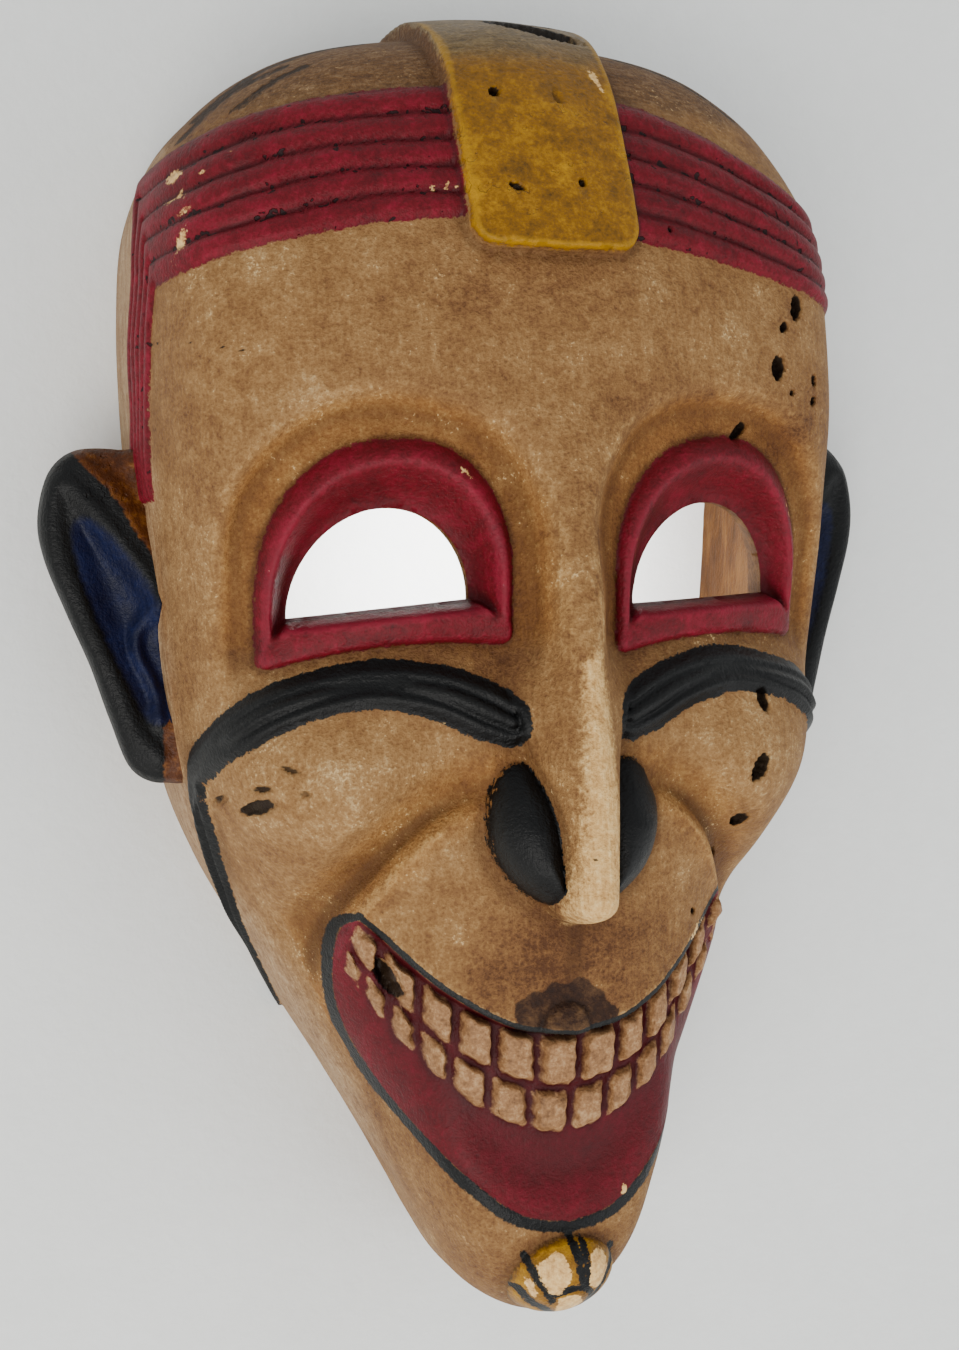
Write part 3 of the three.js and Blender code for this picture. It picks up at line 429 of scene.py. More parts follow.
def edge_power(angle):
    degrees = np.degrees(angle)
    temple = ease(-60, 15, degrees) * (EDGE_POWER_TEMPLE - EDGE_POWER_JAW)
    return EDGE_POWER_JAW + temple + ease(-70, -84, degrees) * (EDGE_POWER_CHIN - EDGE_POWER_JAW)


def block_level(angle, share):
    """1 over the middle of the block, falling to 0 at its rim."""
    return np.clip(1 - share ** edge_power(angle), 0, None) ** (1 / WALL_POWER)


def block_point(angle, share):
    """The plain block before carving, at a share of the way from its centre to its rim."""
    radius = share * rim_radius(angle)
    x = radius * np.cos(angle)
    y = CENTRE_Y + radius * np.sin(angle)
    half = np.arctan2(y - CENTRE_Y, np.abs(x))
    level = block_level(half, share)
    z = front_height(x, y) * level
    chin = ease(-60, -78, np.degrees(half))
    taper = 1 - (WALL_TAPER + CHIN_TAPER * chin) * share * (1 - level) ** 2
    return x * taper, CENTRE_Y + (y - CENTRE_Y) * taper, z, level


table_share = 1 - (1 - np.linspace(0, 1, 601)) ** 3
table_level = np.clip(1 - table_share**EDGE_POWER_TEMPLE, 0, None) ** (1 / WALL_POWER)
table_steps = np.hypot(np.diff(table_share) * SHOULDER_RUN, np.diff(table_level) * SHOULDER_HEIGHT)
table_length = np.concatenate([[0], np.cumsum(table_steps)])
table_length /= table_length[-1]


def square_to_block(u, v):
    """A point of the square as an angle and a share of the way out."""
    reach = np.maximum(np.abs(u), np.abs(v))
    with np.errstate(divide="ignore", invalid="ignore"):
        beside = np.pi / 4 * v / u + np.where(u < 0, np.pi, 0)
        above = np.pi / 2 - np.pi / 4 * u / v + np.where(v < 0, np.pi, 0)
    angle = np.where(reach == 0, 0.0, np.where(np.abs(u) >= np.abs(v), beside, above))
    stretched = np.arctan2(PLAN_STRETCH * np.sin(angle), np.cos(angle))
    even = np.interp(reach, [0, FRONT_SHARE, 1], [0, FRONT_REACH, 1])
    return stretched, np.interp(even, table_length, table_share)


def chain_distance(places, chain, reach=14.0):
    """Distance to a chain of points in the plan or in space, and the share along it."""
    best = np.full(len(places), 1e3)
    share = np.zeros(len(places))
    near = np.all((places > chain.min(0) - reach) & (places < chain.max(0) + reach), axis=1)
    axes = places[near].T.copy()
    found = np.full(axes.shape[1], 1e6)
    found_share = np.zeros(axes.shape[1])
    last = len(chain) - 1
    for i in range(last):
        step = chain[i + 1] - chain[i]
        off = [axis - start for axis, start in zip(axes, chain[i])]
        t = np.clip(sum(o * s for o, s in zip(off, step)) / (step @ step), 0, 1)
        squared = sum((o - t * s) ** 2 for o, s in zip(off, step))
        nearer = squared < found
        found[nearer] = squared[nearer]
        found_share[nearer] = (i + t[nearer]) / last
    best[near], share[near] = np.sqrt(found), found_share
    return best, share


def plan_distance(x, y, line):
    return chain_distance(np.stack([x, y], -1), line)


def inside_distance(x, y, loop):
    """Millimetres inside a closed loop of points, negative outside."""
    places = np.stack([x, y], -1)
    distance, _ = chain_distance(places, loop)
    near = np.all((places > loop.min(0)) & (places < loop.max(0)), axis=1)
    x, y = places[near].T
    within = np.zeros(len(x), bool)
    for (x0, y0), (x1, y1) in zip(loop[:-1], loop[1:]):
        if y0 != y1:
            crossed = (y0 > y) != (y1 > y)
            within ^= crossed & (x < x0 + (y - y0) * (x1 - x0) / (y1 - y0))
    near[near] = within
    return np.where(near, distance, -distance)


def oval(x, y, place):
    """Distance from an oval mark's middle in its own half sizes: 1 on its edge."""
    cx, cy, length, width, turn = place[:5]
    c, s = math.cos(math.radians(turn)), math.sin(math.radians(turn))
    dx, dy = x - cx, y - cy
    return np.hypot((dx * c + dy * s) / length, (dy * c - dx * s) / width)


def arch_distance(x, y, half_width, spring_y, rise, power=ARCH_POWER):
    """Distance outside an arch, negative inside."""
    side = np.abs(np.abs(x) - EYE_X) / half_width
    up = np.clip((y - spring_y) / rise, 0, None)
    reach = (side**power + up**power) ** (1 / power)
    return (reach - 1) * min(half_width, rise)


def socket_distance(x, y):
    return arch_distance(x, y, SOCKET["half_width"], SOCKET["spring_y"], SOCKET["rise"])


def eye_rise(x):
    """How far the eye's foot has risen towards the mask's left at this place."""
    return np.where(x < 0, EYE_TILT["right"] * (x + EYE_X), EYE_TILT["left"] * (x - EYE_X))


def ring_distance(x, y):
    y = y - eye_rise(x)
    arch = arch_distance(x, y, RING["half_width"], RING["spring_y"], RING["rise"])
    low = RING["bottom_y"] + RING["bow"] * (1 - ((np.abs(x) - EYE_X) / RING["half_width"]) ** 2) - y
    corner = np.hypot(np.clip(arch + RING["corner"], 0, None), np.clip(low + RING["corner"], 0, None))
    return np.where(np.maximum(arch, low) > -RING["corner"], corner - RING["corner"], np.maximum(arch, low))


def hole_distances(x, y):
    y = y - eye_rise(x)
    foot = EYE_HOLE["bottom_y"]
    arch = arch_distance(x, y, EYE_HOLE["half_width"], foot, EYE_HOLE["rise"], 2)
    return arch, foot - y


def socket_and_ring(x, y):
    wobble = 0.5 * np.sin(x / 5.3 + 0.8) * np.sin(y / 6.1)
    floor = -SOCKET["depth"] * ease(1.5, -5.0, socket_distance(x, y) + wobble) * ease(26, 44, y)
    outer = ring_distance(x, y)
    arch, bar = hole_distances(x, y)
    inner = np.maximum(arch, bar)
    across = np.clip(inner / np.maximum(inner - outer, 1e-6), 0, 1)
    on_bar = ease(-1.2, 1.2, bar - arch)
    ring = smooth_along(RING_ARCH, across) * (1 - on_bar) + smooth_along(RING_BAR, across) * on_bar
    return floor + np.where(outer > 0, 0, ring)


wing_loop = np.vstack([curve_points(WING_OUTLINE[:-1], 40), [WING_OUTLINE[0]]])


def wing_distance(x, y):
    return inside_distance(np.abs(x), y, wing_loop)


def wing(x, y):
    inward = np.clip(wing_distance(x, y) / WING_ROUND, 0, 1)
    return along(WING_RISE, y) * np.sqrt(1 - (1 - inward) ** 2)


def nose(x, y):
    below = np.clip(NOSE_TIP_Y + TIP_RADIUS - y, 0, None)
    share = np.clip(np.hypot(x, below * TIP_STRETCH) / smooth_along(NOSE_HALF, y), 0, 1)
    rounded = np.clip(1 - share**NOSE_POWER, 0, 1) ** NOSE_BLUNTNESS
    bell = 1 - ease(0, 1, share)
    low = ease(*RIDGE_FADE, y)
    return smooth_along(NOSE_RISE, y) * (rounded * low + bell * (1 - low))


fold_line = curve_points(FOLD_LINE, 40)
fold_loop = np.vstack([fold_line, [(0, -46), (0, 11)], fold_line[:1]])


def cheek_and_fold(x, y):
    beside = (np.abs(x) - CHEEK["x"]) / CHEEK["half_width"]
    cheek = np.hypot(beside, (y - CHEEK["y"]) / CHEEK["half_height"])
    distance, share = plan_distance(np.abs(x), y, fold_line)
    reach = np.where(inside_distance(np.abs(x), y, fold_loop) > 0, FOLD_MUZZLE_SIDE, FOLD_CHEEK_SIDE)
    return CHEEK["rise"] * mound(cheek) - along(FOLD_DEPTH, share) * mound(distance / reach)


upper_edge = curve_points(UPPER_EDGE, 30)
lower_edge = curve_points(LOWER_EDGE, 50)
mouth_loop = np.vstack([upper_edge, lower_edge[1:], upper_edge[:1]])


def bent_line(line, x):
    return line["y"] + line["bend"] * x * x


def mouth_distances(x, y):
    """Millimetres inside the mouth from its upper edge, from its lower edge and from the nearer one."""
    above, _ = plan_distance(np.abs(x), y, upper_edge)
    below, _ = plan_distance(np.abs(x), y, lower_edge)
    sign = np.where(inside_distance(np.abs(x), y, mouth_loop) > 0, 1, -1)
    return above * sign, below * sign, np.minimum(above, below) * sign


def gap_distance(x, gaps):
    return np.min([np.abs(x - gap) for gap in gaps], axis=0) - TOOTH_GAP / 2


def round_least(a, b, corner=TOOTH_CORNER):
    """The lesser of two distances, with the corner between them rounded."""
    cut = np.clip(corner - np.abs(a - b), 0, None) / corner
    return np.minimum(a, b) - cut * cut * corner * 0.25


def tooth_distances(x, y, mouth_inside):
    """Millimetres inside the nearest tooth of the upper and of the lower row."""
    across = x - GAP_LEAN * x
    upper_row = y - bent_line(TOOTH_ROWS_MEET, x) - TOOTH_GAP / 2
    lower_row = np.minimum(-upper_row - TOOTH_GAP, y - bent_line(TOOTH_FOOT, x))
    worn = 0.35 * np.sin(1.1 * x + 0.7 * y) * np.sin(0.9 * y - 0.4 * x)
    upper = round_least(gap_distance(across, UPPER_GAPS), np.minimum(upper_row, mouth_inside - UPPER_INSET))
    lower = round_least(gap_distance(across, LOWER_GAPS), np.minimum(lower_row, mouth_inside - LOWER_INSET))
    return upper + worn, lower + worn


def mouth(x, y):
    above, below, inside = mouth_distances(x, y)
    upper, lower = tooth_distances(x, y, inside)
    lip = ease(0, LIP_SLOPE, below) * 0.9 + ease(0, 0.8, below) * 0.1
    floor = -MOUTH_DEPTH * np.minimum(ease(-0.3, 0.8, above), lip)
    upper = UPPER_TOOTH_RISE * ease(0, TOOTH_EDGE, upper)
    return floor + np.maximum(upper, LOWER_TOOTH_RISE * ease(0, TOOTH_EDGE, lower))


def round_knob(x, y, knob):
    reach = np.hypot((x - knob["x"]) / knob["half_width"], (y - knob["y"]) / knob["half_height"])
    return knob["rise"] * np.sqrt(np.clip(1 - reach * reach, 0, 1))


def knob_line_distance(x, y):
    return np.min([plan_distance(x, y, np.array(line, float))[0] for line in KNOB_LINES], axis=0)


def holes(x, y):
    """Worm holes, flakes and the splits in the strap, as a depth."""
    depth = np.zeros(len(x))
    for hole in HOLES + [STRAP_SPLIT, STRAP_SPLIT_BESIDE]:
        reach = hole[2] * 1.4
        near = np.flatnonzero((np.abs(x - hole[0]) < reach) & (np.abs(y - hole[1]) < reach))
        px, py = x[near], y[near]
        ragged = 0.12 * np.sin(3.1 * px + hole[0]) * np.sin(2.7 * py + hole[1])
        cut = hole[5] * ease(1.15, 0.6, oval(px, py, hole) + ragged)
        depth[near] = np.maximum(depth[near], cut)
    return depth


def unevenness(x, y):
    """The slow swells that a knife leaves."""
    swell = 0.26 * np.sin(x / 8.3 + y / 15.1 + 1.1) * np.sin(y / 9.7 - x / 21.0)
    swell += 0.2 * np.sin(x / 4.9 - y / 12.3 + 0.6) * np.sin(y / 6.3 + x / 17.0 + 2.0)
    return swell + 0.12 * np.sin(x / 2.9 + 0.4 * np.sin(y / 5.0)) * np.sin(y / 7.9 + 1.7)


def face_relief(x, y):
    """What is carved along z on the front, without the crescents."""
    relief = socket_and_ring(x, y) + np.maximum(nose(x, y), wing(x, y)) + cheek_and_fold(x, y)
    _, _, inside = mouth_distances(x, y)
    outside_mouth = ease(0.6, -0.6, inside)
    relief += mouth(x, y) + round_knob(x, y, LIP_KNOB) * outside_mouth
    knob = round_knob(x, y, CHIN_KNOB)
    relief += knob - 0.5 * ease(1.2, 0.2, knob_line_distance(x, y)) * ease(0.5, 2, knob)
    return relief + unevenness(x, y) * outside_mouth


def crescent_chain():
    front = curve_points(CRESCENT_FRONT, 36)
    z = front_height(front[:, 0], front[:, 1]) + cheek_and_fold(front[:, 0], front[:, 1])
    angle = np.arctan2(front[:, 1] - CENTRE_Y, front[:, 0])
    z *= block_level(angle, np.hypot(front[:, 0], front[:, 1] - CENTRE_Y) / rim_radius(angle))
    return np.vstack([np.column_stack([front, z]), curve_points(CRESCENT_TAIL, 20)])


crescent_line = crescent_chain()


def crescent_inside(x, y, z):
    """Millimetres inside the crescent and its tail, and the share of its half width."""
    distance, share = chain_distance(np.stack([np.abs(x), y, z], -1), crescent_line, 9)
    half = along(CRESCENT_HALF, share)
    return half - distance, distance / half


def crescent(x, y, z):
    inside, across = crescent_inside(x, y, z)
    ridge = np.sqrt(np.cos(math.pi / 2 * CRESCENT_RIDGES * across) ** 2 + 0.03)
    low = np.clip((inside + across) / 4.0, 0.15, 1)
    body = CRESCENT_RISE * low * (1 - np.clip(across, 0, 1) ** 4) * (0.35 + 0.65 * ridge)
    return np.where(across < 1, body, 0)


def strap_inside(x, y):
    dx = np.abs(x) - STRAP["half_width"] + STRAP["corner"]
    dy = STRAP["bottom_y"] - y + STRAP["corner"] - STRAP_SKEW * np.minimum(x, 0)
    outside = np.hypot(np.clip(dx, 0, None), np.clip(dy, 0, None))
    return STRAP["corner"] - outside - np.minimum(np.maximum(dx, dy), 0)


def strap(x, y):
    crown = STRAP["crown"] * (1 - (x / STRAP["half_width"]) ** 2)
    return (STRAP["proud"] + np.clip(crown, 0, 1)) * ease(*STRAP_EDGE, strap_inside(x, y))


def band_share(x, y, z):
    """0 at the band's lower or front edge, 1 at its upper or rear edge."""
    low = smooth_along(BAND_BOTTOM, x)
    across = (y - low) / (smooth_along(BAND_TOP, x) - low)
    front = along(BAND_FRONT_Z, y)
    back = (front - z) / (front - along(BAND_REAR_Z, y))
    return np.maximum(across, back)


def band_inside(x, y, z):
    """Millimetres inside the band."""
    share = band_share(x, y, z)
    width = (smooth_along(BAND_TOP, x) - smooth_along(BAND_BOTTOM, x)) * 0.85
    return np.minimum(np.minimum(share, 1 - share) * width, y - BAND_END_Y)


def groove_distance(x, y, z):
    """How far a place of the band is from the nearest groove, as a share of a ridge."""
    waver = 0.05 * np.sin(x / 9.0 + y / 9.0) + 0.015 * np.sin(x / 2.1 + y / 3.3)
    ridge = band_share(x, y, z) * BAND_RIDGES + waver
    return np.abs(ridge - np.round(ridge))


def band(x, y, z):
    groove = groove_distance(x, y, z)
    crest = BAND_CREST * (1 - np.cos(2 * math.pi * groove))
    ridge = BAND_PROUD + crest - GROOVE_DEPTH * mound(groove / GROOVE_SHARE)
    return ridge * ease(-0.4, 0.8, band_inside(x, y, z))


def layer_height(x, y, z):
    """What stands proud of the block along its own lean: strap, band and crescents."""
    on_strap = ease(*STRAP_EDGE, strap_inside(x, y))
    return strap(x, y) + band(x, y, z) * (1 - on_strap) + crescent(x, y, z)


def carve(u, v):
    """Places of the square's points on the carved face, in millimetres."""
    angle, share = square_to_block(u, v)
    x, y, z, level = block_point(angle, share)
    on_front = ease(*FRONT_FADE, level)
    z = z + face_relief(x, y) * on_front
    layer = layer_height(x, y, z) - holes(x, y) * ease(0.3, 0.6, level)
    layer += unevenness(y, z) * (1 - on_front) * ease(0.05, 0.3, level)
    lean = np.sqrt(np.clip(1 - level**4, 0, 1))
    out = np.stack([np.cos(angle) * lean, np.sin(angle) * lean], -1)
    out_z = np.sqrt(np.clip(1 - (out**2).sum(-1), 0, 1)) * level
    return np.stack([x + out[..., 0] * layer, y + out[..., 1] * layer, z + out_z * layer], -1)


def activate(piece):
    bpy.ops.object.select_all(action="DESELECT")
    piece.select_set(True)
    bpy.context.view_layer.objects.active = piece


def read_places(mesh):
    places = np.empty(len(mesh.vertices) * 3)
    mesh.vertices.foreach_get("co", places)
    return places.reshape(-1, 3)


def write_places(mesh, places):
    mesh.vertices.foreach_set("co", np.ascontiguousarray(places, float).ravel())
    mesh.update()


def read_numbers(items, name, width=1):
    values = np.empty(len(items) * width, int)
    items.foreach_get(name, values)
    return values if width == 1 else values.reshape(-1, width)


def carve_error(mesh):
    """How far the carving leaves each flat face of the square, in millimetres."""
    square = read_places(mesh)[:, :2]
    edges = read_numbers(mesh.edges, "vertices", 2)
    corners = read_numbers(mesh.loops, "vertex_index")
    sides = read_numbers(mesh.loops, "edge_index")
    first = read_numbers(mesh.polygons, "loop_start")
    count = read_numbers(mesh.polygons, "loop_total")
    centre = np.add.reduceat(square[corners], first) / count[:, None]
    carved = carve(*square.T)
    edge_error = np.linalg.norm(carve(*square[edges].mean(1).T) - carved[edges].mean(1), axis=1)
    middle = np.add.reduceat(carved[corners], first) / count[:, None]
    face_error = np.linalg.norm(carve(*centre.T) - middle, axis=1)
    return np.maximum(face_error, np.maximum.reduceat(edge_error[sides], first))


def divide_faces(piece, chosen):
    mesh = piece.data
    activate(piece)
    bpy.ops.object.mode_set(mode="EDIT")
    bpy.ops.mesh.select_mode(type="FACE")
    bpy.ops.mesh.select_all(action="DESELECT")
    bpy.ops.object.mode_set(mode="OBJECT")
    mesh.polygons.foreach_set("select", chosen)
    bpy.ops.object.mode_set(mode="EDIT")
    bpy.ops.mesh.subdivide(number_cuts=1)
    bpy.ops.object.mode_set(mode="OBJECT")


def carved_block():
    """A square sheet, halved where the carving is fine, laid over the block and closed below."""
    bpy.ops.mesh.primitive_grid_add(x_subdivisions=COLUMNS, y_subdivisions=ROWS, size=2)
    block = bpy.context.active_object
    block.name = "mask_carving"
    mesh = block.data
    for tolerance in MESH_ERRORS:
        divide_faces(block, carve_error(mesh) > tolerance)
    square = read_places(mesh)
    write_places(mesh, carve(square[:, 0], square[:, 1]))
    activate(block)
    bpy.ops.object.mode_set(mode="EDIT")
    bpy.ops.mesh.select_mode(type="EDGE")
    bpy.ops.mesh.select_all(action="DESELECT")
    bpy.ops.mesh.select_non_manifold(extend=False)
    bpy.ops.mesh.edge_face_add()
    bpy.ops.mesh.select_all(action="SELECT")
    bpy.ops.mesh.normals_make_consistent(inside=False)
    bpy.ops.object.mode_set(mode="OBJECT")
    return block


# What a face of the finished mesh was cut by, kept as its material number until the paint is laid
CARVED, EAR, HOLLOWED, PIERCED = range(4)


def mark_faces(piece, number):
    for _ in range(4):
        piece.data.materials.append(None)
    piece.data.polygons.foreach_set("material_index", np.full(len(piece.data.polygons), number))


def new_piece(name, places, faces, number):
    mesh = bpy.data.meshes.new(name)
    mesh.from_pydata([tuple(p) for p in places], [], faces)
    piece = bpy.data.objects.new(name, mesh)
    bpy.context.collection.objects.link(piece)
    mark_faces(piece, number)
    return piece


def ringed_form(name, rings, top, foot, number):
    """Closed form through rings of points, with a single point at each end."""
    count = len(rings[0])
    places = np.vstack(list(rings) + [[top], [foot]])
    first, last = len(places) - 2, len(places) - 1
    base = (len(rings) - 1) * count
    faces = []
    for i in range(count):
        k = (i + 1) % count
        faces.append((first, i, k))
        for j in range(len(rings) - 1):
            row = j * count
            faces.append((row + i, row + count + i, row + count + k, row + k))
        faces.append((base + i, last, base + k))
    return new_piece(name, places, faces, number)


def hollow_form():
    """The hollow, run on below the rim so that the cut is clean, with shallow gouge marks."""
    turn = math.pi / 2 * np.arange(1, HOLLOW_ROWS + 1) / HOLLOW_ROWS
    share = np.sin(turn) ** (2 / HOLLOW_POWER)
    level = np.clip(np.cos(turn), 0, 1) ** (2 / HOLLOW_WALL_POWER)
    level[-1] = -HOLLOW_RUN_ON
    around = 2 * math.pi * np.arange(HOLLOW_SIDES) / HOLLOW_SIDES
    angle = np.arctan2(PLAN_STRETCH * np.sin(around), np.cos(around))
    rings = []
    for row_share, row_level in zip(share, level):
        radius = row_share * (rim_radius(angle) - RIM_WALL)
        x = radius * np.cos(angle)
        y = CENTRE_Y + radius * np.sin(angle)
        fade = ease(NOSE_HOLLOW["fade_from"], NOSE_HOLLOW["fade_to"], y)
        room = NOSE_HOLLOW["share"] * smooth_along(NOSE_RISE, y)
        room *= mound(np.abs(x) / NOSE_HOLLOW["half_width"])
        z = (front_height(x, y) - FRONT_WALL + room * fade) * row_level
        stroke = np.abs(np.sin(x / GOUGE["across"] * math.pi + 1.3 * np.sin(y / GOUGE["length"])))
        sweep = np.abs(np.sin((z + 0.4 * y) / GOUGE["across"] * math.pi))
        cut = GOUGE["depth"] * (stroke * row_level + sweep * (1 - row_level)) * ease(-0.05, 0.1, row_level)
        out_x, out_y = (turned(angle) * (1 - row_level) for turned in (np.cos, np.sin))
        rings.append(np.stack([x + cut * out_x, y + cut * out_y, z + cut * (row_level - 0.5)], -1))
    top = (0, CENTRE_Y, float(front_height(np.array(0.0), np.array(CENTRE_Y))) - FRONT_WALL)
    return ringed_form("mask_hollow", rings, top, (0, CENTRE_Y, HOLLOW_FOOT_Z), HOLLOWED)


ear_bowl = curve_points(EAR_BOWL[:-1], 60, closed=True)
ear_crest = curve_points(EAR_CREST, 60)
ear_fold = curve_points(EAR_FOLD, 24)
ear_shoulder = np.array(EAR_SHOULDER, float)


def ear_plane(x):
    return EAR_FACE_Z - EAR_SLOPE * (x - EAR_INNER_X)


def ear_relief(x, y):
    bowl = EAR_BOWL_DEPTH * ease(-1.5, 6.5, inside_distance(x, y, ear_bowl))
    crest = EAR_CREST_RISE * mound(plan_distance(x, y, ear_crest)[0] / EAR_CREST_HALF)
    fold = EAR_FOLD_RISE * mound(plan_distance(x, y, ear_fold)[0] / EAR_FOLD_HALF)
    shoulder = EAR_SHOULDER_DROP * ease(-0.5, 6, inside_distance(x, y, ear_shoulder))
    return crest + fold - bowl - shoulder


def ear_form(name, side):
    outline_points = curve_points(EAR_OUTLINE, EAR_SIDES, closed=True)[:-1][::-1]
    middle = np.array(EAR_MIDDLE)
    rings = []
    for share in np.linspace(0, 1, EAR_RINGS + 1)[1:]:
        x, y = (middle + (outline_points - middle) * share).T
        edge = np.clip((share - 0.86) / 0.14, 0, 1)
        lift = ear_relief(x, y) - EAR_ROUND * (1 - np.sqrt(1 - edge * edge))
        rings.append(np.column_stack([side * x, y, ear_plane(x) + lift]))
    for share, lift in EAR_BACK[1:]:
        x, y = (middle + (outline_points - middle) * share).T
        rings.append(np.column_stack([side * x, y, ear_plane(x) + lift]))
    top = float((ear_plane(middle[0]) + ear_relief(middle[:1], middle[1:]))[0])
    ends = [(side * middle[0], middle[1], z) for z in (top, ear_plane(middle[0]) + EAR_BACK[-1][1] - 0.3)]
    ear = ringed_form(name, rings, *ends, EAR)
    if side < 0:
        ear.data.flip_normals()
    return ear


def eye_hole_form(name, side):
    turn = np.pi * np.arange(EYE_HOLE_STEPS + 1) / EYE_HOLE_STEPS
    x = side * EYE_X + EYE_HOLE["half_width"] * np.cos(turn)
    y = EYE_HOLE["bottom_y"] + EYE_HOLE["rise"] * np.sin(turn) + eye_rise(x)
    count = len(x)
    ends = [np.column_stack([x, y, np.full(count, z)]) for z in EYE_HOLE_Z]
    faces = [tuple(range(count))[::-1], tuple(range(count, 2 * count))]
    for i in range(count):
        k = (i + 1) % count
        faces.append((i, k, count + k, count + i))
    return new_piece(name, np.vstack(ends), faces, PIERCED)


def combine(piece, other, operation):
    cut = piece.modifiers.new(operation.lower(), "BOOLEAN")
    cut.operation = operation
    cut.solver = "MANIFOLD"
    cut.material_mode = "INDEX"
    cut.object = other
    activate(piece)
    bpy.ops.object.modifier_apply(modifier=cut.name)
    bpy.data.objects.remove(other, do_unlink=True)


def add_measure(mesh, name, values, domain="POINT"):
    attribute = mesh.attributes.new(name, "FLOAT", domain)
    attribute.data.foreach_set("value", np.ascontiguousarray(values, np.float32))


def plain_level(x, y):
    angle = np.arctan2(y - CENTRE_Y, x)
    share = np.clip(np.hypot(x, y - CENTRE_Y) / rim_radius(angle), 0, 1)
    return block_level(np.arctan2(y - CENTRE_Y, np.abs(x)), share)


def relief_map():
    """Height of the carving over the plain block, on an even plan grid."""
    x, y = (axis.ravel() for axis in np.meshgrid(MAP_X, MAP_Y))
    level = plain_level(x, y)
    heights = face_relief(x, y) * ease(*FRONT_FADE, level)
    heights += layer_height(x, y, front_height(x, y) * level)
    return heights.reshape(len(MAP_Y), len(MAP_X))


def blurred(heights, reach):
    rows = np.fft.fftfreq(len(MAP_Y), MAP_STEP)[:, None]
    columns = np.fft.rfftfreq(len(MAP_X), MAP_STEP)
    soft = np.exp(-2 * (math.pi * reach) ** 2 * (rows**2 + columns**2))
    return np.fft.irfft2(np.fft.rfft2(heights) * soft, heights.shape)


def read_map(heights, x, y):
    across = np.clip((x - MAP_X[0]) / MAP_STEP, 0, len(MAP_X) - 1.01)
    up = np.clip((y - MAP_Y[0]) / MAP_STEP, 0, len(MAP_Y) - 1.01)
    i, k = up.astype(int), across.astype(int)
    s, t = up - i, across - k
    low = heights[i, k] * (1 - t) + heights[i, k + 1] * t
    high = heights[i + 1, k] * (1 - t) + heights[i + 1, k + 1] * t
    return low * (1 - s) + high * s


def unleaned(x, y, z):
    """Plan place of a carved point before the layer lifted it outward."""
    angle = np.arctan2(y - CENTRE_Y, x)
    shift = layer_height(x, y, z) * np.sqrt(np.clip(1 - plain_level(x, y) ** 4, 0, 1))
    return x - shift * np.cos(angle), y - shift * np.sin(angle)


def best_of(x, y, places):
    return np.max([(1 - oval(x, y, place)) * min(place[2:4]) for place in places], axis=0)


def patch_at(x, y, places):
    """Soft patches as (x, y, half width, half height, strength), the right one for each side."""
    total = np.zeros(len(x))
    for cx, cy, width, height, strength in places:
        total += strength * mound(np.hypot((x - cx) / width, (y - cy) / height))
    return total


def paint_edges(x, y, z):
    """Millimetres inside the edge of each paint, and how far marks that follow an edge reach."""
    side_x = np.abs(x)

    def on_front(values, low=-6.0, height=FRONT_Z):
        return np.clip(np.where(z > height, values, low), low, -low)

    def inside(line, count=60):
        return inside_distance(x, y, curve_points(line, count))

    ring_mm = ring_distance(x, y)
    strap_mm = strap_inside(x, y)
    band_mm = np.minimum(band_inside(x, y, z), -strap_mm)
    above, below, mouth_mm = mouth_distances(x, y)
    mouth_mm = on_front(mouth_mm, -20.0)
    upper, lower = LIP_LINE["upper"], LIP_LINE["lower"] + LIP_LINE["swell"] * ease(-70, -88, y)
    line_width = np.where(np.abs(above) < np.abs(below), upper, lower)
    crescent_mm, _ = crescent_inside(x, y, z)
    wing_mm = np.minimum(wing_distance(x, y), (wing(x, y) - nose(x, y)) * 0.7 + 0.4)
    knob_line = on_front(1.0 - knob_line_distance(x, y), height=KNOB_Z)
    black = np.maximum(np.maximum(crescent_mm, on_front(wing_mm)), knob_line)
    knob_reach = np.hypot(x / CHIN_KNOB["half_width"], (y - CHIN_KNOB["y"]) / CHIN_KNOB["half_height"])
    knob_mm = on_front((1 - knob_reach) * 12, height=KNOB_Z)
    root = 81.5 - side_x + np.where(y < 24, 0, -4)
    brown = np.maximum(inside_distance(side_x, y, ear_shoulder), root)
    bare = np.max([inside(loop, 24) for loop in KNOB_BARE], axis=0)
    return {
        "crimson": np.clip(np.maximum(band_mm, on_front(-ring_mm)), -6, 6),
        # Millimetres from the eye rings' edge, for the painted shade round their foot
        "ring_foot": np.where(z > FRONT_Z, np.clip(ring_mm, -6, 12), 12),
        "mouth": mouth_mm,
        "lip_line": np.clip(-mouth_mm / line_width, -3, 6),
        "teeth": on_front(np.maximum(*tooth_distances(x, y, mouth_mm))),
        "lip_low": ease(1, 12, below),
        "black": np.clip(black, -6, 6),
        "wing_top": ease(-2, 12, y) * ease(1.5, -0.5, np.abs(wing_mm)) * ease(24, 21, side_x),
        "ochre": np.clip(np.maximum(strap_mm, knob_mm), -6, 6),
        "strap_top": ease(160, 180, y),
        "ear_blue": np.clip(inside_distance(side_x, y, ear_bowl), -6, 6),
        "ear_brown": np.clip(np.where(z < ear_plane(side_x) - 5.5, 4, brown), -6, 6),
        "bare_patch": on_front(np.maximum(bare, best_of(x, y, CHIPS)), height=CHIP_Z),
        "nose_worn_and_lit": on_front(inside(NOSE_WORN_AND_LIT), height=RIDGE_Z),
        "stain": on_front(inside(STAIN)),
        "split": on_front(split_share(x, y), height=SPLIT_Z),
        "hole": np.where(z > CHIP_Z, holes(*unleaned(x, y, z)), 0),
    }


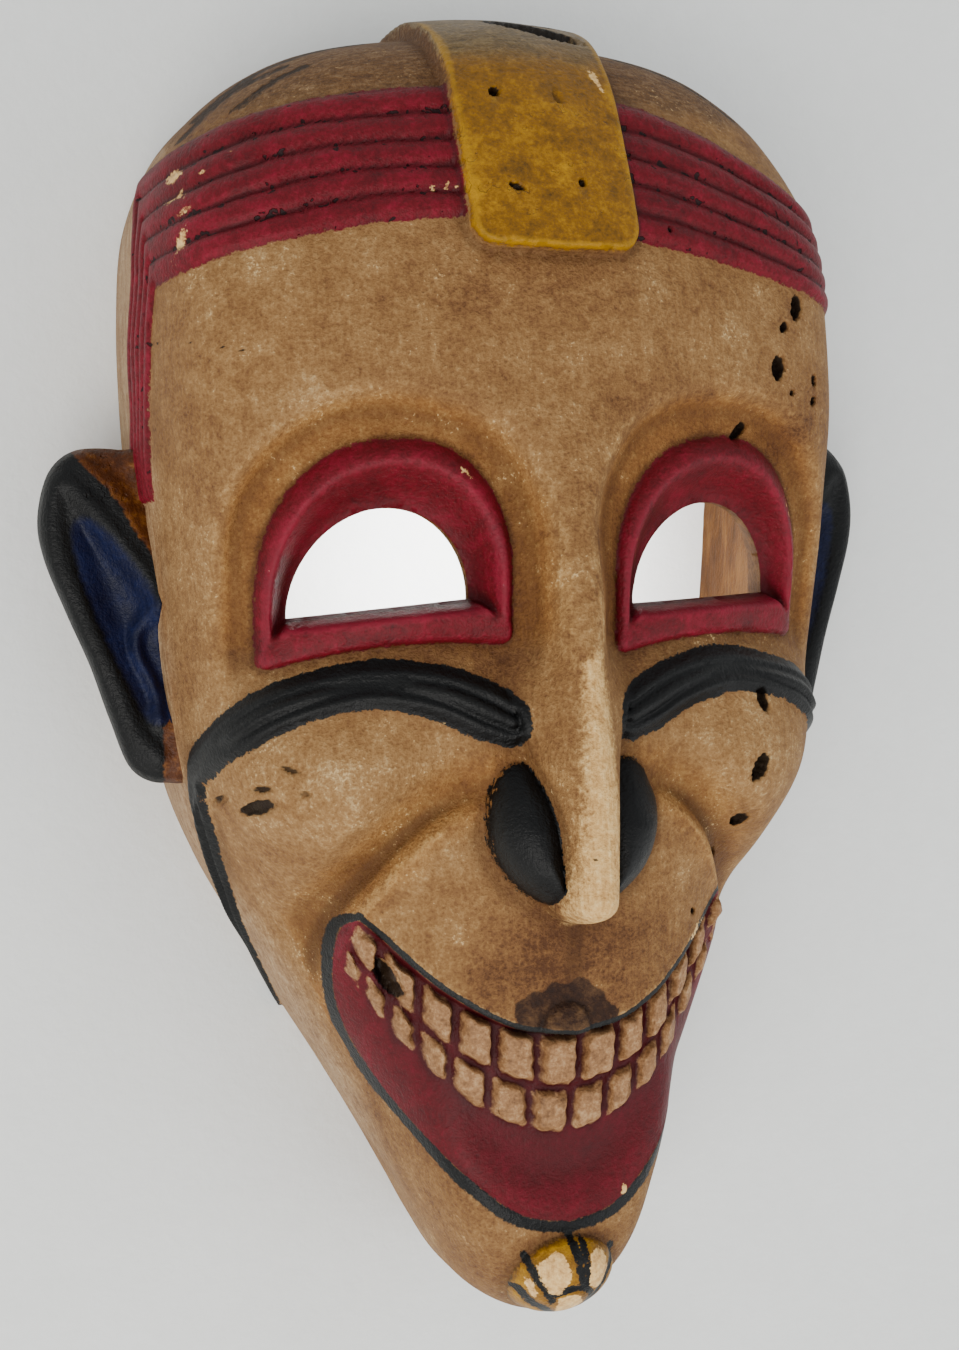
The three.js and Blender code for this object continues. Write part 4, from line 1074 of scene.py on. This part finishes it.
def split_share(x, y):
    """1 on a split's middle line, 0 on its edge."""
    widths = [FINE_SPLIT_WIDTH] * len(FINE_SPLITS) + [SPLIT_WIDTH] * len(SPLITS)
    lines = [curve_points(line, 16) for line in FINE_SPLITS + SPLITS]
    return np.max([1 - plan_distance(x, y, line)[0] / width for line, width in zip(lines, widths)], axis=0)


def wear(x, y, z):
    """Dips, crests and grooves, made darker or losing paint, and where the wood is warmer, paler or patched
    with painted light and shade.
    """
    side_x = np.abs(x)
    front = z > FRONT_Z
    heights = relief_map()
    on_wall = ease(0.75, 0.5, plain_level(x, y))
    beside = groove_distance(x, y, z)
    inside_band = ease(0, 0.5, band_inside(x, y, z))
    wall_dip = (mound(beside / GROOVE_SHARE) - 0.35) * inside_band
    dips = read_map(blurred(heights, DIP_REACH) - heights, x, y)
    broad = read_map(blurred(heights, BROAD_DIP_REACH) - heights, x, y) * (1 - on_wall)
    # Painted light: a warmer, lighter glow in the eye sockets where the light falls
    warm_and_lit = ease(2, -4, socket_distance(x, y)) * ease(34, 46, y) * front
    fold_mm, _ = plan_distance(side_x, y, fold_line)
    # Along the fold and beside the ears the wood is only of a warmer tone
    warm_and_lit = np.maximum(warm_and_lit, 0.9 * mound(fold_mm / 14) * front)
    near_ear = ease(12, 4, np.abs(z - EAR_FACE_Z)) * ease(6, 14, y) * ease(98, 84, y) * ease(76, 79, side_x)
    # Painted shade: a dark line along the fold round the muzzle
    fold_shade = ease(3.2, 0.3, np.abs(inside_distance(side_x, y, fold_loop) - 0.8))
    return {
        "dip": np.clip(dips * (1 - on_wall) + wall_dip * on_wall, -2, 2),
        "broad_dip": np.clip(broad, -4, 4),
        "groove": (1 - beside / 0.5) * inside_band,
        "warm_and_lit": np.maximum(warm_and_lit, near_ear),
        "fold_shade": fold_shade * ease(-44, -34, y) * ease(10, 2, y) * front,
        # Painted light and shade: patches where the wood is made lighter or darker
        "shade": patch_at(x, y, LIGHT_AND_SHADE_PATCHES) * front,
        "wall": on_wall,
        "crown": ease(150, 170, y),
    }


def lay_out_paint(mesh):
    """Measures kept on the mesh for the paint: what cut each face, and what lies at each point."""
    kind = read_numbers(mesh.polygons, "material_index")
    for name, number in (("on_ear", EAR), ("bare_inside", HOLLOWED), ("hole_wall", PIERCED)):
        add_measure(mesh, name, kind == number, "FACE")
    x, y, z = read_places(mesh).T
    for name, values in {**paint_edges(x, y, z), **wear(x, y, z)}.items():
        add_measure(mesh, name, values)


def make_mask():
    mask = carved_block()
    mark_faces(mask, CARVED)
    for side, name in ((-1, "ear_right"), (1, "ear_left")):
        combine(mask, ear_form(name, side), "UNION")
    combine(mask, hollow_form(), "DIFFERENCE")
    for side, name in ((-1, "eye_right"), (1, "eye_left")):
        combine(mask, eye_hole_form(name, side), "DIFFERENCE")
    mask.name = "mask_carved"
    lay_out_paint(mask.data)
    mask.data.materials.clear()
    places = read_places(mask.data)
    places[:, 1] -= MIDDLE_Y
    write_places(mask.data, places * MM)
    activate(mask)
    bpy.ops.object.shade_smooth_by_angle(angle=math.radians(SMOOTH_BELOW))
    return mask


def rgb(colour):
    """A 0 to 255 colour as the linear colour that a shader takes."""
    return tuple((c / 255) ** 2.2 for c in colour) + (1.0,)


class Finish:
    """A material, with short names for the shader nodes that its paint is mixed from."""

    def __init__(self, name):
        self.material = bpy.data.materials.new(name)
        self.material.use_nodes = True
        self.tree = self.material.node_tree
        self.shader = self.tree.nodes["Principled BSDF"]
        self.place = self.node("ShaderNodeTexCoord").outputs["Object"]

    def node(self, kind, **settings):
        made = self.tree.nodes.new(kind)
        for key, value in settings.items():
            setattr(made, key, value)
        return made

    def feed(self, socket, value):
        if isinstance(value, bpy.types.NodeSocket):
            self.tree.links.new(value, socket)
        else:
            socket.default_value = rgb(value) if isinstance(value, tuple) else value

    def measure(self, name):
        return self.node("ShaderNodeAttribute", attribute_name=name).outputs["Fac"]

    def math(self, operation, a, b):
        made = self.node("ShaderNodeMath", operation=operation)
        self.feed(made.inputs[0], a)
        self.feed(made.inputs[1], b)
        return made.outputs[0]

    def times(self, *factors):
        total = factors[0]
        for factor in factors[1:]:
            total = self.math("MULTIPLY", total, factor)
        return total

    def plus(self, *terms):
        """The sum of values, each followed by its weight."""
        parts = [v if w == 1 else self.times(v, w) for v, w in zip(terms[::2], terms[1::2])]
        total = parts[0]
        for part in parts[1:]:
            total = self.math("ADD", total, part)
        return total

    def noise(self, size_mm, detail=3.0, roughness=0.6, stretch=(1, 1, 1)):
        """Even noise about 0, between about -1 and 1, with marks of the given size."""
        scaled = self.node("ShaderNodeVectorMath", operation="MULTIPLY")
        self.feed(scaled.inputs[0], self.place)
        scaled.inputs[1].default_value = [1 / (size_mm * MM * s) for s in stretch]
        made = self.node("ShaderNodeTexNoise")
        self.feed(made.inputs["Vector"], scaled.outputs[0])
        for name, value in (("Scale", 1.0), ("Detail", detail), ("Roughness", roughness)):
            made.inputs[name].default_value = value
        return self.times(self.math("SUBTRACT", made.outputs["Fac"], 0.5), 4.0)

    def edge(self, value, start, stop):
        """0 before start, 1 after stop, or the other way round."""
        made = self.node("ShaderNodeMapRange", interpolation_type="SMOOTHSTEP")
        self.feed(made.inputs["Value"], value)
        made.inputs["From Min"].default_value = min(start, stop)
        made.inputs["From Max"].default_value = max(start, stop)
        made.inputs["To Min"].default_value = float(start > stop)
        made.inputs["To Max"].default_value = float(start < stop)
        return made.outputs["Result"]

    def tones(self, name, *terms):
        """A paint's colour, which runs through its tones as the weighted sum goes from -1 to 1."""
        made = self.node("ShaderNodeValToRGB")
        self.feed(made.inputs["Fac"], self.plus(self.plus(*terms), 0.5, 1.0, 0.5))
        stops = made.color_ramp.elements
        last = len(TONES[name]) - 1
        for k in range(1, last):
            stops.new(k / last)
        for stop, colour in zip(stops, TONES[name]):
            stop.color = rgb(colour)
        return made.outputs["Color"]

    def over(self, under, paint, *factors):
        """A paint laid over what is under it, by the product of the factors."""
        made = self.node("ShaderNodeMix", data_type="RGBA")
        self.feed(made.inputs[0], self.times(*factors))
        self.feed(made.inputs[6], under)
        self.feed(made.inputs[7], PAINTS[paint] if isinstance(paint, str) else paint)
        return made.outputs[2]

    def mix_number(self, factor, under, over):
        made = self.node("ShaderNodeMix", data_type="FLOAT")
        for k, value in ((0, factor), (2, under), (3, over)):
            self.feed(made.inputs[k], value)
        return made.outputs[0]

    def finish(self, colour, roughness, height, depth_mm):
        self.feed(self.shader.inputs["Base Color"], colour)
        self.feed(self.shader.inputs["Roughness"], roughness)
        bump = self.node("ShaderNodeBump")
        bump.inputs["Strength"].default_value = 1.0
        bump.inputs["Distance"].default_value = depth_mm * MM
        self.feed(bump.inputs["Height"], height)
        self.feed(self.shader.inputs["Normal"], bump.outputs["Normal"])
        return self.material


class MaskFinish(Finish):
    """Aged bare wood under worn crimson, ochre, black and bone paint."""

    def __init__(self):
        super().__init__("painted_wood")
        self.broad = self.noise(34, 3, 0.55)
        self.patch = self.noise(9, 4, 0.6)
        self.speck = self.noise(2.2, 3, 0.7)
        self.dust = self.noise(0.8, 2, 0.7)
        self.grain = self.noise(1.4, 3, 0.65, stretch=(1, 16, 1))
        self.ring_grain = self.noise(1.2, 4, 0.7, stretch=(18, 1, 1))
        self.ragged = self.plus(self.speck, 0.34, self.dust, 0.2, self.patch, 0.14)
        self.fine = self.plus(self.speck, 0.42, self.dust, 0.42, self.grain, 0.18)
        self.dips = self.measure("dip")
        self.broad_dips = self.measure("broad_dip")
        # Patches of painted light and shade
        self.shade = self.measure("shade")
        self.mouth_mm = self.measure("mouth")
        self.cream = self.tones("cream", self.speck, 0.55, self.grain, 0.4, self.dust, 0.4)

    def torn(self, name, raggedness, start, stop):
        """A measure's edge, made ragged."""
        return self.edge(self.plus(self.measure(name), 1, self.ragged, raggedness), start, stop)

    def bare_wood(self):
        patch, speck, dust, grain, fine = self.patch, self.speck, self.dust, self.grain, self.fine
        # The wood's tone mottles at random and takes the patches of painted light and shade
        mottle = self.plus(self.broad, 0.4, patch, 0.38, fine, 1, self.shade, 1, 1.0, 0.06)
        wood = self.tones("wood", mottle, 1)
        # Warmer wood, which in the eye sockets is painted light
        warm_and_lit = self.edge(self.plus(self.measure("warm_and_lit"), 1, patch, 0.22, speck, 0.14), 0.2, 0.95)
        wood = self.over(wood, self.tones("warm_and_lit_wood", mottle, 1), warm_and_lit, 0.6)
        crown = self.edge(self.plus(self.measure("crown"), 1, patch, 0.3), 0.35, 0.9)
        wood = self.over(wood, self.tones("end_grain", self.ring_grain, 0.9, fine, 1), crown, 0.85)
        # Painted light: the side walls paler, as where the light falls on them, over a paler wood
        pale = self.tones("pale_and_lit_wall", grain, 0.6, patch, 0.4, fine, 1)
        wood = self.over(wood, pale, self.measure("wall"), self.edge(crown, 0.6, 0.1), 0.75)
        # Darker in the dips and grooves
        dip_darkening = self.edge(self.plus(self.dips, 1, self.broad_dips, 0.35, speck, 0.14), 0.1, 0.9)
        wood = self.over(wood, "dip_darkening", dip_darkening, 0.45)
        # Painted shade along the fold round the muzzle
        wood = self.over(wood, "fold_shade", self.torn("fold_shade", 0.5, 0.25, 1.1), 0.5)
        # A darker tone over all the wood
        wood = self.over(wood, "dirt_and_shade", 0.4)
        # Painted shade round the foot of the eye rings
        wood = self.over(wood, "dirt_and_shade", self.torn("ring_foot", 1.2, 1.3, 0.0), 0.45)
        crests = self.plus(self.dips, -1.0, self.broad_dips, -0.12, speck, 0.2, patch, 0.12)
        wood = self.over(wood, self.cream, self.edge(crests, 0.3, 0.8), 0.25)
        # Pale flecks at random, more of them in the patches of painted light
        flecks = self.plus(dust, 1, patch, 0.6, self.broad, 0.3, self.shade, 0.4)
        wood = self.over(wood, "fleck", self.edge(flecks, 0.85, 1.15), 0.55)
        worms = self.edge(self.plus(speck, 1, patch, 0.4), -1.15, -1.35)
        wood = self.over(wood, "worm", worms, 0.75)
        # The worn pale stripe down the nose ridge, also painted light on its top
        return self.over(wood, self.cream, self.torn("nose_worn_and_lit", 2.4, -1.4, 1.9), 0.85)

    def crimson_paint(self):
        """The crimson, and where pits break it."""
        patch, speck, dust, dips = self.patch, self.speck, self.dust, self.dips
        crimson = self.tones("crimson", patch, 0.5, speck, 0.45, dust, 0.3, self.broad, 0.25)
        crimson = self.over(crimson, "crimson_dip", self.edge(dips, 0.02, 0.6), 0.6)
        # Painted highlight along the crests of the crimson
        crests = self.plus(dips, -1.0, speck, 0.14, dust, 0.08)
        crimson = self.over(crimson, "crimson_highlight", self.edge(crests, 0.12, 0.6), 0.25)
        pits = self.plus(self.measure("groove"), 0.8, self.noise(2.0, 1, 0.5), 0.5, patch, 0.35)
        pits = self.edge(pits, 0.88, 1.0)
        crimson = self.over(crimson, "pit", pits, 0.9)
        flakes = self.edge(self.plus(speck, 1, dust, 0.6, dips, -0.6), 1.6, 1.72)
        return self.over(crimson, "flake", flakes), pits

    def bone_paint(self):
        bone = self.tones("bone", self.speck, 0.6, self.dust, 0.45, self.patch, 0.35)
        gum = self.edge(self.plus(self.dips, 1, self.speck, 0.14), 0.0, 0.5)
        return self.over(bone, "gum", gum, 0.6)

    def ochre_paint(self):
        patch, speck, dust, dips = self.patch, self.speck, self.dust, self.dips
        top = self.measure("strap_top")
        ochre = self.tones("ochre", patch, 0.55, speck, 0.45, dust, 0.3, top, -0.2)
        worn = self.tones("olive", self.ring_grain, 0.5, self.fine, 1)
        ochre = self.over(ochre, worn, self.edge(self.plus(top, 1, patch, 0.25), 0.3, 1.0))
        low = self.edge(self.plus(dips, 1, patch, 0.12), 0.08, 0.6)
        ochre = self.over(ochre, "ochre_dip", low, 0.75)
        # Brighter ochre on the crests: worn edges, and painted highlight
        crests = self.edge(self.plus(dips, -1.0, patch, 0.3, speck, 0.1), 0.15, 0.8)
        return self.over(ochre, "ochre_worn_and_lit_edge", crests, 0.4)

    def black_paint(self):
        black = self.tones("black", self.patch, 0.4, self.grain, 0.5, self.dust, 0.3)
        # Painted highlight along the crests of the black
        crests = self.edge(self.plus(self.dips, -1.0, self.speck, 0.1), 0.15, 0.8)
        return self.over(black, "black_highlight", crests, 0.3)

    def ear_paint(self, black):
        blue = self.tones("blue", self.patch, 0.5, self.speck, 0.3)
        root = self.tones("ear_root", self.patch, 0.5, self.speck, 0.5)
        ear = self.over(black, blue, self.torn("ear_blue", 0.8, -0.8, 1.2))
        ear = self.over(ear, root, self.torn("ear_brown", 1, -0.2, 0.5))
        chips = self.edge(self.plus(self.speck, 1, self.dust, 0.5), 1.8, 1.9)
        return self.over(ear, "ear_chip", chips)


def painted_wood():
    f = MaskFinish()
    patch, speck, dust, grain = f.patch, f.speck, f.dust, f.grain
    crimson, pits = f.crimson_paint()
    black = f.black_paint()
    colour = f.over(f.bare_wood(), crimson, f.torn("crimson", 1.3, -0.1, 0.25))
    in_mouth = f.edge(f.plus(f.mouth_mm, 1, f.ragged, 0.3), -0.1, 0.15)
    lip = f.over(crimson, "lip", f.plus(1.0, 0.25, f.measure("lip_low"), 0.4))
    colour = f.over(colour, lip, in_mouth)
    colour = f.over(colour, f.bone_paint(), f.torn("teeth", 0.6, 0.0, 0.45))
    stained = f.tones("stain", speck, 0.6, patch, 0.4, f.dips, -0.8)
    outside = f.edge(f.mouth_mm, 2.4, -0.1)
    colour = f.over(colour, stained, f.torn("stain", 1.2, -0.2, 0.3), outside, 0.95)
    on_ochre = f.torn("ochre", 0.9, -0.1, 0.3)
    colour = f.over(colour, f.ochre_paint(), on_ochre)
    line = f.plus(f.measure("lip_line"), 1, f.ragged, 0.35)
    on_line = f.times(f.edge(line, -0.12, 0.02), f.edge(line, 1.1, 0.9))
    brushed = f.times(f.measure("wing_top"), f.noise(0.7, 2, 0.6, stretch=(1, 5, 1)), 1.6)
    painted = f.edge(f.plus(f.measure("black"), 1, f.ragged, 1.5, brushed, 1), -0.05, 0.25)
    on_black = f.math("MAXIMUM", on_line, painted)
    colour = f.over(colour, black, on_black)
    split = f.torn("split", 0.9, 0.35, 0.75)
    colour = f.over(colour, "split", split, 0.85)
    on_ear = f.measure("on_ear")
    colour = f.over(colour, f.ear_paint(black), on_ear)
    colour = f.over(colour, f.cream, f.torn("bare_patch", 1.2, 0.0, 0.35))
    colour = f.over(colour, "hole", f.torn("hole", 0.4, 0.35, 1.3), 0.94)
    hole_wall, bare_inside = f.measure("hole_wall"), f.measure("bare_inside")
    cut_wood = f.tones("cut_wood", patch, 0.5, speck, 0.4, grain, 0.3)
    colour = f.over(colour, cut_wood, hole_wall)
    raw = f.tones("raw_wood", f.broad, 0.4, patch, 0.4, grain, 0.5)
    colour = f.over(colour, raw, bare_inside)

    on_crimson = f.math("MAXIMUM", f.edge(f.measure("crimson"), -0.1, 0.2), in_mouth)
    gloss = f.mix_number(on_crimson, f.plus(1.0, 0.72, speck, 0.06), f.plus(1.0, 0.56, patch, 0.06))
    gloss = f.mix_number(on_ochre, gloss, f.plus(1.0, 0.5, patch, 0.07))
    gloss = f.mix_number(f.math("MAXIMUM", painted, on_ear), gloss, f.plus(1.0, 0.48, patch, 0.08))
    gloss = f.mix_number(on_line, gloss, 0.45)
    gloss = f.mix_number(f.math("MAXIMUM", bare_inside, hole_wall), gloss, 0.8)
    f.shader.inputs["Specular IOR Level"].default_value = 0.22
    bare = f.edge(f.plus(on_crimson, 1, on_ochre, 1, on_black, 1, on_ear, 1), 1.0, 0.0)
    pores = f.times(f.plus(dust, 0.5, speck, 0.45, grain, 0.35), f.plus(1.0, 0.55, bare, 0.45))
    height = f.plus(pores, 1, patch, 0.3, pits, -1.2, split, -2.0)
    return f.finish(colour, gloss, height, 0.22)


def floor_finish():
    f = Finish("pale_floor")
    colour = f.tones("floor", f.noise(60, 3), 0.5, f.noise(6, 3), 0.3)
    return f.finish(colour, 0.9, f.noise(3, 2), 0.05)


def set_camera():
    camera_data = bpy.data.cameras.new("view")
    camera_data.sensor_fit = "VERTICAL"
    camera_data.sensor_height = 36.0
    camera_data.lens = CAMERA_FOCAL_PX / PHOTO_HEIGHT_PX * camera_data.sensor_height
    camera = bpy.data.objects.new("view", camera_data)
    bpy.context.collection.objects.link(camera)
    axes = Matrix(CAMERA_AXES).transposed()
    place = Vector(CAMERA_PLACE) - Vector((0, MIDDLE_Y, 0))
    camera.matrix_world = Matrix.Translation(place * MM) @ axes.to_4x4()
    bpy.context.scene.camera = camera


def make_floor():
    bpy.ops.object.select_all(action="DESELECT")
    bpy.ops.mesh.primitive_plane_add(size=6)
    floor = bpy.context.active_object
    floor.name = "floor"
    floor.data.materials.append(floor_finish())


def set_light():
    world = bpy.data.worlds.new("room")
    bpy.context.scene.world = world
    world.use_nodes = True
    background = world.node_tree.nodes["Background"]
    background.inputs["Color"].default_value = ROOM_LIGHT["colour"]
    background.inputs["Strength"].default_value = ROOM_LIGHT["strength"]
    for name, place, aim, size, power, colour in LAMPS:
        data = bpy.data.lights.new(name, "AREA")
        data.size = size
        data.energy = power
        data.color = colour
        lamp = bpy.data.objects.new(name, data)
        bpy.context.collection.objects.link(lamp)
        lamp.location = place
        lamp.rotation_euler = (Vector(aim) - Vector(place)).to_track_quat("-Z", "Y").to_euler()


set_camera()
mask = make_mask()
mask.data.materials.append(painted_wood())
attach(mask, "root")
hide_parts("mask")
make_floor()
set_light()
